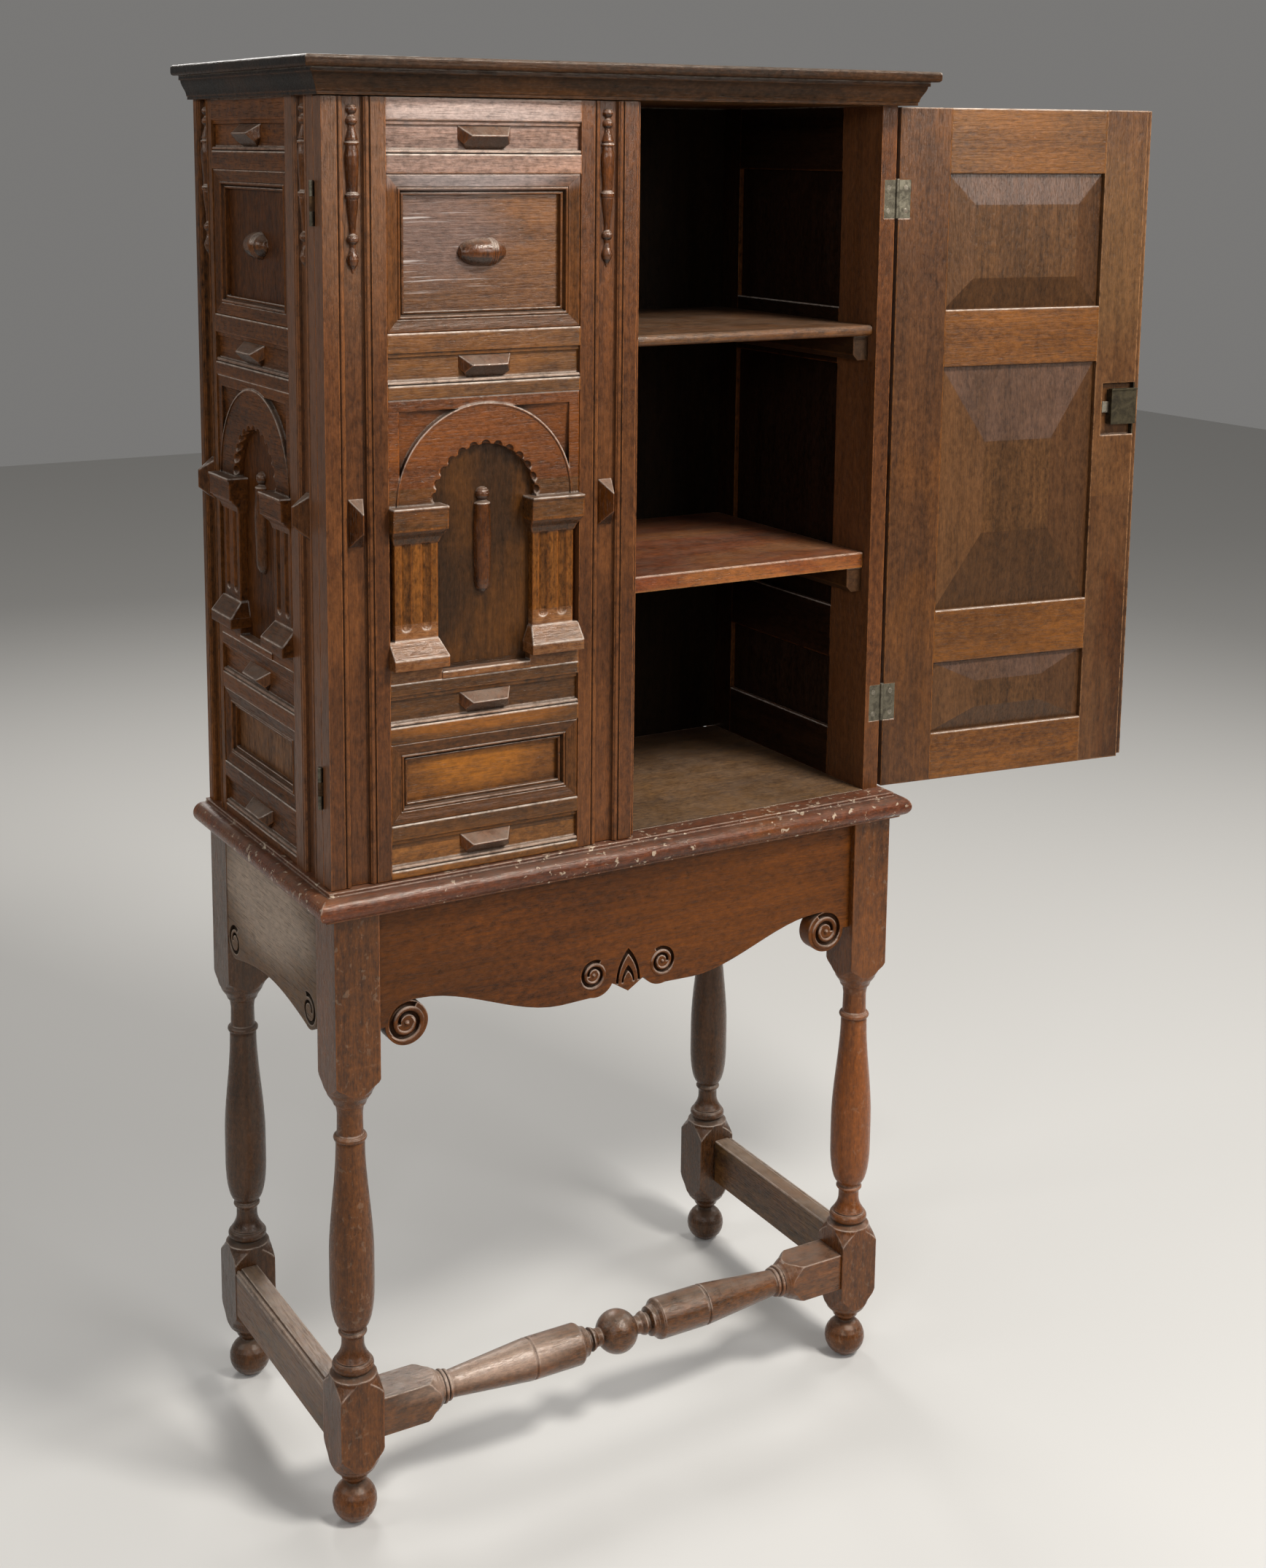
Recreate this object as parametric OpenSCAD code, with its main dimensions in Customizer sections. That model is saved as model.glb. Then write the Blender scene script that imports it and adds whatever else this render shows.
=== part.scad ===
// Pier cupboard on a stand: a two-door oak cupboard in seventeenth-century style.
// Millimetres, +Z up, front towards -Y. The origin is on the floor, midway between the feet.
// The left door is drawn closed and the right door is drawn open.

/* [Case] */
// Width of the case over its two sides
case_w = 750; // [620:10:900]
// Depth of the case sides, front edge to back edge
case_d = 361; // [300:5:420]
// Height of the case between stand and cornice
case_h = 844; // [800:4:900]
// Thickness of the side framing
side_t = 22; // [20:0.5:26]
// Thickness of the back board
back_t = 10; // [6:1:14]
// How far the back board stands in from the rear edge of the sides
back_inset = 10; // [4:1:16]
// Thickness of the case floor
floor_t = 12; // [8:1:16]

/* [Doors] */
// Thickness of the door framing
door_t = 21; // [20:0.5:26]
// Gap behind a closed door
door_rear_gap = 1; // [0.6:0.2:2]
// Gap above and below a door
door_end_gap = 1.2; // [0.8:0.2:2.4]
// Gap between the two doors where they meet
meet_gap = 1.5; // [1:0.25:3]
// How far the doors' meeting line lies right of the middle
meet_off = 1; // [0:0.5:4]
// Width of the left door's lip behind the joint
lip_w = 9; // [7:1:12]
// Clearance between that lip and the right door behind the joint
lip_end_gap = 6; // [2:0.5:7]
// Thickness of the outer half of the rebated joint
lip_t = 10; // [9:0.5:11]
// Angle at which the right door is drawn open
right_open = 173; // [90:1:175]

/* [Framing] */
// Width of the door stiles
stile_w = 71.5; // [66:0.5:80]
// Width of the right door's meeting stile with its lip
lock_stile_w = 75; // [72:0.5:80]
// Width of the front stile of a case side
front_stile_w = 77; // [66:0.5:84]
// Width of the back stile of a case side
back_stile_w = 59; // [52:0.5:70]
// Height of the top rail
rail_1_h = 78; // [60:1:84]
// Height of the upper panel opening
panel_1_h = 166; // [140:1:190]
// Height of the second rail
rail_2_h = 70; // [56:1:76]
// Height of the arched panel opening
panel_2_h = 308; // [298:1:330]
// Height of the third rail
rail_3_h = 67; // [58:1:76]
// Height of the lower panel opening
panel_3_h = 92; // [80:1:110]
// Depth of the panels behind the outer face
panel_recess = 12; // [10:0.5:13]
// Thickness of a panel's tongue
tongue_t = 3.5; // [3:0.25:4.5]
// How far a panel's tongue enters the framing
tongue_w = 6; // [4:0.5:8]
// How far a raised field lies behind the inner face of the framing
field_back = 0.5; // [0.3:0.1:3]
// Bevel along the sides of the arched and the lower panel's field
field_side = 64; // [30:1:68]
// Bevel along the top and bottom of the arched panel's field
field_end = 96; // [30:1:110]
// Bevel all round the upper panel's field
field_top_bevel = 38; // [20:1:60]
// Bevel along the top and bottom of the lower panel's field
field_low_bevel = 29; // [15:1:36]
// Clearance round a panel in its groove
panel_gap = 0.3; // [0.2:0.1:0.6]

/* [Stile channel] */
// Width of the channel floor
channel_w = 22; // [18:1:24]
// Depth of the channel
channel_d = 6; // [4:0.5:7]
// Distance of a side's front channel from the front edge
front_channel_off = 37; // [34:0.5:40]
// Width of the moulding beside the channel
channel_mould_w = 8; // [6:0.5:9]
// Radius of the bead on that moulding
channel_bead_r = 2.2; // [1.5:0.1:2.5]

/* [Rail friezes] */
// Height of the sunk frieze on each rail
frieze_h = 35; // [35:0.5:42]
// Height of the flat band at the bottom of the frieze
frieze_band_h = 25.5; // [25:0.5:25.5]
// Depth of that band
frieze_d = 5; // [3:0.5:6]
// How far the first frieze sits below its rail's middle
frieze_1_off = 1.5; // [-6:0.5:6]
// How far the second frieze sits below its rail's middle
frieze_2_off = 3; // [-6:0.5:6]
// How far the third frieze sits below its rail's middle
frieze_3_off = -2.5; // [-6:0.5:6]
// How far the fourth frieze sits below its rail's middle
frieze_4_off = 4; // [-6:0.5:6]
// Length of a faceted block
block_w = 63; // [50:1:75]
// Height of a faceted block
block_h = 25; // [20:0.5:25]
// How far a faceted block stands proud of the framing
block_proud = 10; // [8:0.5:14]

/* [Channel blocks] */
// Width of the block in the stile channel
prism_w = 17; // [12:0.5:20]
// Height of the block in the stile channel
prism_h = 52; // [40:1:60]
// How far that block stands proud of the framing
prism_proud = 15; // [10:0.5:18]
// Distance from the top of the framing to that block
prism_drop = 417; // [400:1:430]

/* [Panel mouldings] */
// Width of the mitred moulding round the square panels
mould_w = 22; // [16:1:24]

/* [Split turnings] */
// Radius of the split balusters in the channels
baluster_r = 7.75; // [5:0.25:8]
// Length of the split balusters
baluster_l = 173; // [150:1:190]
// Distance from the top of the framing to the balusters
baluster_drop = 7.5; // [5:0.5:20]
// Radius of the split drop under the arch
drop_r = 10.5; // [8:0.5:12]
// Length of the split drop under the arch
drop_l = 119; // [100:1:130]
// Distance from the arched opening's top to the drop
drop_start = 101; // [96:1:120]
// Length of the oval boss
boss_l = 59; // [44:1:70]
// Radius of the oval boss
boss_r = 15; // [12:0.5:17]

/* [Arcade] */
// Distance from the opening's top to the arch centre
arch_drop = 115; // [112:1:120]
// Radius of the arched opening
arch_in_r = 62; // [54:1:66]
// Outer radius of the arch band
arch_out_r = 107; // [104:1:109]
// Border left round the sunk corners of the arch
arch_border = 13; // [10:1:16]
// Depth of the sunk corners
spandrel_d = 5; // [3:0.5:7]
// Number of gouge cuts round the arch
gouge_n = 13; // [7:2:17]
// Radius of a gouge cut
gouge_r = 5.5; // [4:0.5:6.5]
// Width of a capital and of a base
cap_w = 65; // [56:1:68]
// Height of a capital
cap_h = 41; // [34:1:46]
// How far capitals and bases stand proud of the framing
cap_proud = 13; // [8:0.5:15]
// Width of a pilaster
pilaster_w = 51; // [44:1:54]
// Width of a flute
flute_w = 11; // [8:0.5:13]
// Distance of the flutes from the pilaster's middle
flute_off = 12; // [9:0.5:14]
// Height of a base
base_h = 46; // [40:1:54]
// Height of the plinth strip between the bases
plinth_h = 8; // [6:0.5:12]

/* [Shelves] */
// Height of the upper shelf's top above the case floor
shelf_1_z = 582.5; // [540:0.5:640]
// Thickness of the upper shelf
shelf_1_t = 13; // [10:0.5:20]
// Height of the lower shelf's top above the case floor
shelf_2_z = 301.5; // [240:0.5:360]
// Thickness of the lower shelf
shelf_2_t = 19.5; // [12:0.5:24]
// Setback of the upper shelf behind the case's front edge
shelf_1_back = 7; // [5:0.5:30]
// Setback of the lower shelf behind the case's front edge
shelf_2_back = 13; // [5:0.5:30]
// Clearance at each end of a shelf
shelf_gap = 1; // [0.5:0.25:3]
// Width of a shelf bearer
bearer_w = 22; // [14:1:26]
// Height of a shelf bearer
bearer_h = 30; // [18:1:34]

/* [Cornice] */
// Height of the bed moulding
bed_h = 27; // [20:1:34]
// Overhang of the cornice beyond sides and doors
cornice_over = 26.5; // [20:0.5:30]
// Overhang of the bed moulding at its foot
bed_foot = 7; // [2:0.5:9]
// Overhang of the bed moulding at its top
bed_over = 17; // [13:0.5:19]
// Thickness of the cap board
cap_t = 12; // [8:0.5:16]
// Radius of the cap board's rounded edge
cap_edge_r = 3.5; // [1:0.5:4]

/* [Stand] */
// Height of the stand, floor to case floor
stand_h = 766; // [700:2:820]
// Thickness of the stand's top moulding
top_mould_h = 31; // [26:1:36]
// Overhang of the top moulding beyond sides and doors
top_mould_over = 22; // [16:0.5:28]
// Radius of the top moulding's nose
nose_r = 12.3; // [9:0.1:12.5]
// How far the legs stand outside the case at each side
leg_reveal_x = 0; // [0:0.5:6]
// How far the front legs stand in front of the doors
leg_reveal_y = 6; // [0:0.5:8]
// Side of the square blocks of a leg
leg_w = 53; // [46:1:58]
// Radius of the ball foot
foot_r = 25.8; // [22:0.1:26]
// Height of the ball foot's centre
foot_z = 24.6; // [21:0.1:25]
// Height at which the upper leg block ends
upper_block_z = 543; // [520:1:560]
// Height at which the lower leg block begins
lower_block_z = 76; // [70:1:84]
// Height at which the lower leg block ends
lower_block_top = 185; // [176:1:200]
// Largest radius of the turned vase
vase_r = 25.5; // [20:0.5:26]
// Radius of the legs' necks
neck_r = 14.5; // [12:0.25:17]

/* [Aprons] */
// Thickness of the aprons
apron_t = 20; // [18:1:26]
// How far the front apron lies behind the faces of the front legs
front_apron_set = 8; // [0:0.5:12]
// Height of the straight back apron
back_apron_h = 95; // [70:1:120]
// Lowest point of the front apron below the top moulding
apron_low = 157; // [140:1:165]
// Height of the front apron next to the scrolls
apron_high = 111; // [96:1:120]
// Radius of the large scrolls
volute_r = 26; // [20:0.5:28]
// Distance of the large scrolls from the legs
volute_off = 35.5; // [32:0.5:46]
// Height of the side aprons next to the legs
side_apron_low = 152; // [140:1:160]
// Height of the side aprons at mid-span
side_apron_high = 135; // [110:1:139]
// Radius of the side scrolls
side_volute_r = 22; // [18:0.5:24]

/* [Stretchers] */
// Height of the front stretcher's centre line
stretcher_z = 131; // [110:1:150]
// Side of the front stretcher's square ends
stretcher_w = 47; // [40:1:50]
// Length of the front stretcher's square ends
stretcher_block_l = 80; // [50:1:90]
// Radius of the front stretcher's middle ball
stretcher_ball_r = 26.5; // [20:0.5:27]
// Radius of the front stretcher's tapered turnings
stretcher_r = 25; // [18:0.5:25]
// Height of a side stretcher
side_stretcher_h = 61; // [40:1:66]
// Thickness of a side stretcher
side_stretcher_t = 29; // [22:1:40]
// Height of the side stretchers above the floor
side_stretcher_z = 100; // [84:1:110]

/* [Hardware] */
// Height of a hinge
hinge_h = 46; // [38:1:52]
// Width of a hinge leaf from its edge to the pin
leaf_w = 19; // [16:0.5:20]
// Thickness of a hinge leaf
leaf_t = 2; // [1.5:0.25:2.5]
// Radius of the hinge knuckle
knuckle_r = 2.4; // [2.2:0.1:4]
// Radius of the hinge pin
pin_r = 1.1; // [0.9:0.1:1.5]
// Radial clearance of the pin in the moving knuckle
pin_gap = 0.05; // [0.02:0.01:0.1]
// Distance from the ends of a door to its hinges
hinge_off = 86; // [60:1:120]
// Distance from the door's top to the lock's top
lock_drop = 352; // [330:1:370]
// Width of the lock body
lock_w = 38; // [32:1:42]
// Height of the lock body
lock_h = 44; // [36:1:48]
// Depth of the lock body
lock_d = 11; // [9:0.5:12]
// Height of the recess above the lock
lock_recess_high = 9; // [4:1:14]
// Height of the recess below the lock
lock_recess_low = 14; // [4:1:18]
// How far the bolt slides
bolt_throw = 11; // [8:0.5:12]

/* [Hidden] */
$fn = 48;

// Overall layout
stand_w = case_w + 2 * leg_reveal_x;
stand_d = case_d + door_rear_gap + door_t + leg_reveal_y;
back_y = stand_d / 2;
case_front_y = back_y - case_d;
door_front_y = case_front_y - door_rear_gap - door_t;
leg_front_y = -stand_d / 2;
case_top_z = stand_h + case_h;
leg_x = (stand_w - leg_w) / 2;
leg_y = (stand_d - leg_w) / 2;
leg_top_z = stand_h - top_mould_h;
door_h = case_h - 2 * door_end_gap;
side_open_w = case_d - front_stile_w - back_stile_w;
inner_w = case_w - 2 * side_t;
back_front_y = back_y - back_inset - back_t;
seam = 0.02;

// Widths of a door, its meeting stile and its openings: side -1 is the left door, 1 the right door
function door_w(side) = (case_w - meet_gap) / 2 - side * meet_off;
function meet_stile_w(side) = side < 0 ? stile_w : lock_stile_w;
function door_open_w(side) = door_w(side) - stile_w - meet_stile_w(side);
right_lip_w = lip_w + lip_end_gap - meet_gap;

// Distances from the top of a framed face down to each opening
open_1 = rail_1_h;
open_2 = open_1 + panel_1_h + rail_2_h;
open_3 = open_2 + panel_2_h + rail_3_h;

// Colours
oak = [0.36, 0.17, 0.09];
oak_light = [0.45, 0.23, 0.11];
oak_dark = [0.28, 0.13, 0.08];
inner_oak = [0.42, 0.25, 0.16];
brass = [0.48, 0.44, 0.30];
steel = [0.45, 0.43, 0.38];

// Points of an arc
function arc(cx, cy, r, a0, a1, n) =
  [for (i = [0:n]) [cx + r * cos(a0 + (a1 - a0) * i / n), cy + r * sin(a0 + (a1 - a0) * i / n)]];
// A smooth step from 0 to 1
function smooth(t) = t * t * (3 - 2 * t);
// Points from one turned radius to another, following a smooth step
function swell(r0, z0, r1, z1, n) =
  [for (i = [0:n]) [r0 + (r1 - r0) * smooth(i / n), z0 + (z1 - z0) * i / n]];

// Framing with moulded faces. Local frame: x across, y into the wood from the outer face, z up.

channel_half = channel_w / 2;
channel_edge = channel_half + channel_mould_w;
quirk_d = 1.6;
quirk_w = 1.6;

// Half of the channel's moulding, from the plain face to the channel's floor
function channel_side(c, s) = concat(
  [[c - s * channel_edge, 0], [c - s * (channel_edge - quirk_w / 2), quirk_d]],
  [for (p = arc(channel_half + channel_mould_w / 2, quirk_d, channel_bead_r, 0, 180, 6))
    [c - s * p[0], 2 * quirk_d - p[1]]],
  [[c - s * (channel_half + 1), quirk_d], [c - s * channel_half, channel_d]]);

function reversed(v) = [for (i = [len(v) - 1:-1:0]) v[i]];

module stile_bar(w, c, t, h) {
  linear_extrude(h)
    polygon(concat([[0, 0]], channel_side(c, 1), reversed(channel_side(c, -1)),
      [[w, 0], [w, t], [0, t]]));
}

groove_t = tongue_t + panel_gap;
groove_w = tongue_w + panel_gap;

// A groove for the panels along the edge x of a stile
module stile_groove(x, h) {
  translate([x, panel_recess, 0])
    translate([-groove_w, 0, -1])
      cube([2 * groove_w, groove_t, h + 2]);
}

frieze_lip = 2.5;
frieze_fillet = 3;
frieze_bead_r = 2;

// Distances from the top of a framed face of height fh to the top and bottom of each rail
function rail_tops(fh) = [0, open_1 + panel_1_h, open_2 + panel_2_h, open_3 + panel_3_h];
function rail_ends(fh) = [open_1, open_2, open_3, fh];
frieze_offs = [frieze_1_off, frieze_2_off, frieze_3_off, frieze_4_off];
// Distance from the top of the face to the middle of frieze i
function frieze_mid(fh, i) = (rail_tops(fh)[i] + rail_ends(fh)[i]) / 2 + frieze_offs[i];

// A rail of height h whose outer face carries a sunk frieze with its middle at height c
module rail_bar(w, t, h, c) {
  e = frieze_h / 2;
  b = frieze_band_h / 2;
  f = b + frieze_fillet;
  translate([w, 0, 0])
    rotate([0, -90, 0])
      linear_extrude(w)
        polygon(concat([[0, 0], [c - e, 0], [c - e + 0.5, frieze_lip]],
          arc(c - e + 0.6 + frieze_bead_r, frieze_lip + 0.2, frieze_bead_r, 180, 360, 6),
          [[c - b, frieze_lip + 0.6], [c - b, frieze_d], [c + b, frieze_d], [c + b, frieze_lip],
            [c + f, frieze_lip], [c + e, 0], [h, 0], [h, t], [0, t]]));
}

// The four rails of a face of height fh, with grooves for the panels between them
module face_rails(w, t, fh) {
  tops = rail_tops(fh);
  ends = rail_ends(fh);
  for (i = [0:3]) {
    difference() {
      translate([0, 0, fh - ends[i]])
        rail_bar(w, t, ends[i] - tops[i], ends[i] - frieze_mid(fh, i));
      if (i < 3)
        translate([-1, panel_recess, fh - ends[i] - groove_w])
          cube([w + 2, groove_t, 2 * groove_w]);
      if (i > 0)
        translate([-1, panel_recess, fh - tops[i] - groove_w])
          cube([w + 2, groove_t, 2 * groove_w]);
    }
  }
}

// A panel in framing of thickness t, with tongues and a raised field whose bevels are m and n wide
module panel_board(w, h, t, m, n) {
  field_t = t - panel_recess - tongue_t - field_back;
  translate([-tongue_w, panel_recess, -tongue_w])
    cube([w + 2 * tongue_w, tongue_t, h + 2 * tongue_w]);
  intersection() {
    translate([0, panel_recess + tongue_t - seam, 0])
      linear_extrude(h)
        polygon([[1, 0], [w - 1, 0], [w - 1, seam], [w - m, field_t], [m, field_t], [1, seam]]);
    translate([w, panel_recess + tongue_t - seam, 0])
      rotate([0, -90, 0])
        linear_extrude(w)
          polygon([[1, 0], [h - 1, 0], [h - 1, seam], [h - n, field_t], [n, field_t], [1, seam]]);
  }
}

module face_panels(w, t, fh) {
  side_bevel = min(field_side, w * 0.31);
  translate([0, 0, fh - open_1 - panel_1_h])
    panel_board(w, panel_1_h, t, min(field_top_bevel, w * 0.31), field_top_bevel);
  translate([0, 0, fh - open_2 - panel_2_h])
    panel_board(w, panel_2_h, t, side_bevel, field_end);
  translate([0, 0, fh - open_3 - panel_3_h])
    panel_board(w, panel_3_h, t, side_bevel, field_low_bevel);
}

// Profile of the panel moulding: first number from the outer edge inwards, second the depth
mould_top = 1;
mould_fall = 2.6;
mould_bead_r = 1.6;
mould_bead_x = mould_w - 6.3;
mould_bead_y = 4.6;
mould_cove_y = 8;
mould_fillet_w = 2.4;
mould_profile = concat(
  [[0, panel_recess], [0, mould_top + 1], [1.4, mould_top]],
  [for (i = [0:5]) [1.4 + (mould_bead_x - 3.5) * i / 5, mould_top + mould_fall * smooth(i / 5)]],
  [for (p = arc(mould_bead_x, mould_bead_y, mould_bead_r, 180, 360, 6)) p],
  [[mould_bead_x + 1.9, mould_bead_y + 1], [mould_bead_x + 2.3, mould_cove_y - 1.2],
    [mould_bead_x + 3.2, mould_cove_y], [mould_w - mould_fillet_w, mould_cove_y],
    [mould_w - mould_fillet_w, mould_cove_y - 1.2], [mould_w, mould_cove_y - 1.2],
    [mould_w, panel_recess]]);

// One mitred strip of length l along x, its outer edge at z = 0
module mould_strip(l) {
  intersection() {
    translate([l, 0, 0])
      rotate([0, -90, 0])
        linear_extrude(l)
          polygon(mould_profile);
    translate([0, panel_recess + 1, 0])
      rotate([90, 0, 0])
        linear_extrude(panel_recess + 2)
          polygon([[0, 0], [l, 0], [l - mould_w, mould_w], [mould_w, mould_w]]);
  }
}

// Four mitred strips round an opening of w by h
module mould_frame(w, h) {
  mould_strip(w);
  translate([0, 0, h])
    mirror([0, 0, 1])
      mould_strip(w);
  translate([w, 0, 0])
    rotate([0, -90, 0])
      mould_strip(h);
  mirror([1, 0, 0])
    rotate([0, -90, 0])
      mould_strip(h);
}

module face_mouldings(w, fh) {
  translate([0, 0, fh - open_1 - panel_1_h])
    mould_frame(w, panel_1_h);
  translate([0, 0, fh - open_3 - panel_3_h])
    mould_frame(w, panel_3_h);
}

// The arch board: a round-headed opening, scooped corners, a bead round the arch and gouge cuts
arch_face = 1.2;
arch_bead_w = 2.2;
arch_bead_h = 1;
scoop_r = 150;
scoop_edge = 1;

// The scooped floor of the corners: deepest next to the arch, as radius and depth behind the face
scoop_profile = concat(
  [[arch_out_r - 1, -1], [arch_out_r - 1, spandrel_d * 0.8]],
  [for (i = [0:8]) [arch_out_r + (scoop_r - arch_out_r) * i / 8,
    scoop_edge + (spandrel_d - scoop_edge) * cos(90 * i / 8)]],
  [[scoop_r + 10, scoop_edge], [scoop_r + 10, -1]]);

module arch_board(w) {
  c = w / 2;
  difference() {
    translate([0, panel_recess, 0])
      rotate([90, 0, 0])
        linear_extrude(panel_recess - arch_face)
          difference() {
            translate([0, -arch_drop])
              square([w, arch_drop]);
            translate([c, -arch_drop])
              circle(r = arch_in_r, $fn = 96);
          }
    intersection() {
      translate([c, arch_face, -arch_drop])
        rotate([-90, 0, 0])
          rotate_extrude($fn = 96)
            polygon(scoop_profile);
      translate([0, arch_face + spandrel_d + 1, 0])
        rotate([90, 0, 0])
          linear_extrude(spandrel_d + 3)
            difference() {
              translate([arch_border, -arch_drop + arch_border])
                square([w - 2 * arch_border, arch_drop - 2 * arch_border]);
              translate([c, -arch_drop])
                circle(r = arch_out_r, $fn = 96);
            }
    }
    for (i = [0:gouge_n - 1]) {
      a = 180 * (i + 0.5) / gouge_n;
      translate([c + (arch_in_r - 1) * cos(a), arch_face, -arch_drop + (arch_in_r - 1) * sin(a)])
        sphere(r = gouge_r, $fn = 24);
    }
  }
  translate([0, arch_face, 0])
    rotate([90, 0, 0])
      linear_extrude(arch_bead_h)
        intersection() {
          translate([0, -arch_drop])
            square([w, arch_drop]);
          translate([c, -arch_drop])
            difference() {
              circle(r = arch_out_r, $fn = 96);
              circle(r = arch_out_r - arch_bead_w, $fn = 96);
            }
        }
}

cap_face = 2;
cap_fascia = cap_h * 0.62;
cap_lip = 3;

// A capital, cap_w wide, its top at z = 0
module capital() {
  intersection() {
    translate([cap_w, 0, 0])
      rotate([0, -90, 0])
        linear_extrude(cap_w)
          polygon(concat([[0, panel_recess], [0, -cap_proud], [-cap_lip, -cap_proud]],
            [[-cap_lip - 0.6, -cap_proud + 1.4], [-cap_fascia, -cap_proud + 1.8]],
            [for (i = [0:5]) [-cap_fascia - (cap_h - cap_fascia - 4) * i / 5,
              -cap_proud + 4 + (cap_proud - 4 + cap_face - 2) * smooth(i / 5)]],
            [[-cap_h, cap_face - 1], [-cap_h, panel_recess]]));
    translate([0, panel_recess + 1, 0])
      rotate([90, 0, 0])
        linear_extrude(panel_recess + cap_proud + 2)
          polygon([[0, 0], [cap_w, 0], [cap_w, -cap_fascia], [(cap_w + pilaster_w) / 2 + 1, -cap_h],
            [(cap_w - pilaster_w) / 2 - 1, -cap_h], [0, -cap_fascia]]);
  }
}

base_fascia = 12;
base_hip = 6;

// A base, its top at z = 0: a weathered slope hipped at its right end, a fascia and a plain block
module pilaster_base() {
  slope = base_h * 0.38;
  intersection() {
    translate([cap_w, 0, 0])
      rotate([0, -90, 0])
        linear_extrude(cap_w)
          polygon([[0, panel_recess], [0, cap_face], [-slope, -cap_proud], [-slope - base_fascia, -cap_proud],
            [-slope - base_fascia, 0], [-base_h, 0], [-base_h, panel_recess]]);
    translate([0, panel_recess + 1, 0])
      rotate([90, 0, 0])
        linear_extrude(panel_recess + cap_proud + 2)
          polygon([[0, 0], [cap_w - base_hip, 0], [cap_w, -slope], [cap_w, -slope - base_fascia],
            [cap_w - base_hip / 2, -slope - base_fascia], [cap_w - base_hip / 2, -base_h], [0, -base_h]]);
  }
}

// A pilaster of height h with two stopped flutes, its top at z = 0
module pilaster(h) {
  r = flute_w * 0.6;
  sink = sqrt(r * r - flute_w * flute_w / 4);
  difference() {
    translate([0, cap_face, -h])
      cube([pilaster_w, panel_recess - cap_face, h]);
    for (s = [-1, 1]) {
      translate([pilaster_w / 2 + s * flute_off, cap_face - sink, -h + 9 + r])
        cylinder(r = r, h = h, $fn = 32);
      translate([pilaster_w / 2 + s * flute_off, cap_face - sink, -h + 9 + r])
        sphere(r = r, $fn = 32);
    }
  }
}

// Arch, capitals, pilasters, bases and plinth strip of one arched opening
module face_arcade(w, fh) {
  shaft_h = panel_2_h - arch_drop - cap_h - base_h;
  translate([0, 0, fh - open_2]) {
    arch_board(w);
    for (s = [0, 1]) {
      x = s * (w - cap_w);
      translate([x, 0, -arch_drop])
        capital();
      translate([x + (cap_w - pilaster_w) / 2, 0, -arch_drop - cap_h])
        pilaster(shaft_h);
      translate([s * w, 0, -panel_2_h + base_h])
        mirror([s, 0, 0])
          pilaster_base();
    }
    translate([cap_w - base_hip / 2, -1, -panel_2_h])
      cube([w - 2 * cap_w + base_hip, panel_recess + 1, plinth_h]);
  }
}

// Split turnings, as radius and distance down from the top

// A bead of radius r and height h, its top at distance z
function bead(r, z, h, a0, a1, n) =
  [for (i = [0:n]) let (a = a0 + (a1 - a0) * i / n) [r * sin(a), z + h * (1 - cos(a)) / 2]];

module split_turning(profile, l) {
  intersection() {
    rotate_extrude()
      polygon([for (p = profile) [p[0], -p[1]]]);
    translate([-50, -50, -l - 1])
      cube([100, 50, l + 2]);
  }
}

function baluster_profile(r, l) = concat(
  bead(r * 0.79, 0, l * 0.064, 0, 150, 6),
  bead(r * 0.82, l * 0.0655, l * 0.066, 30, 150, 6),
  [[r * 0.43, l * 0.136]],
  [[r * 0.9, l * 0.208], [r * 0.8, l * 0.213], [r * 0.8, l * 0.22]],
  [[r, l * 0.223], [r, l * 0.237], [r * 0.8, l * 0.24]],
  swell(r * 0.8, l * 0.243, r, l * 0.3, 3),
  swell(r, l * 0.306, r * 0.76, l * 0.52, 4),
  [[r, l * 0.529], [r, l * 0.552], [r * 0.82, l * 0.558]],
  swell(r * 0.85, l * 0.561, r * 0.45, l * 0.751, 4),
  bead(r * 0.85, l * 0.763, l * 0.069, 30, 150, 6),
  [[r * 0.42, l * 0.835], [r * 0.42, l * 0.85]],
  swell(r * 0.45, l * 0.855, r * 0.85, l * 0.913, 3),
  swell(r * 0.83, l * 0.925, r * 0.12, l * 0.997, 3),
  [[0, l]]);

function drop_profile(r, l) = concat(
  bead(r * 0.8, 0, l * 0.135, 0, 145, 7),
  [[r * 0.6, l * 0.135], [r * 0.9, l * 0.15]],
  swell(r * 0.9, l * 0.16, r, l * 0.45, 4),
  swell(r, l * 0.46, r * 0.9, l * 0.86, 4),
  [for (i = [1:5]) [r * 0.9 * (i < 5 ? cos(18 * i) : 0), l * (0.87 + 0.13 * sin(18 * i))]]);

// Radius of the oval boss at the share t of its half length, from -1 to 1
function oval(r, t) = r * sqrt(max(0, 1 - t * t));
// The oval boss: half a spindle lying across, with three rings right of its middle
boss_ring_0 = 0.25;
boss_ring_1 = 0.52;
function boss_profile(r, l) = concat(
  [for (i = [0:12]) let (t = -1 + (1 + boss_ring_0 - 0.01) * i / 12) [oval(r, t), l / 2 * (1 + t)]],
  [for (j = [0:2]) for (k = [0:4]) let (t = boss_ring_0 + (boss_ring_1 - boss_ring_0) * (j + k / 4) / 3)
    [oval(r, t) + 1.1 * sin(45 * k), l / 2 * (1 + t)]],
  [for (i = [0:6]) let (t = boss_ring_1 + 0.01 + (0.99 - boss_ring_1) * i / 6)
    [oval(r, t), l / 2 * (1 + t)]]);

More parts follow.
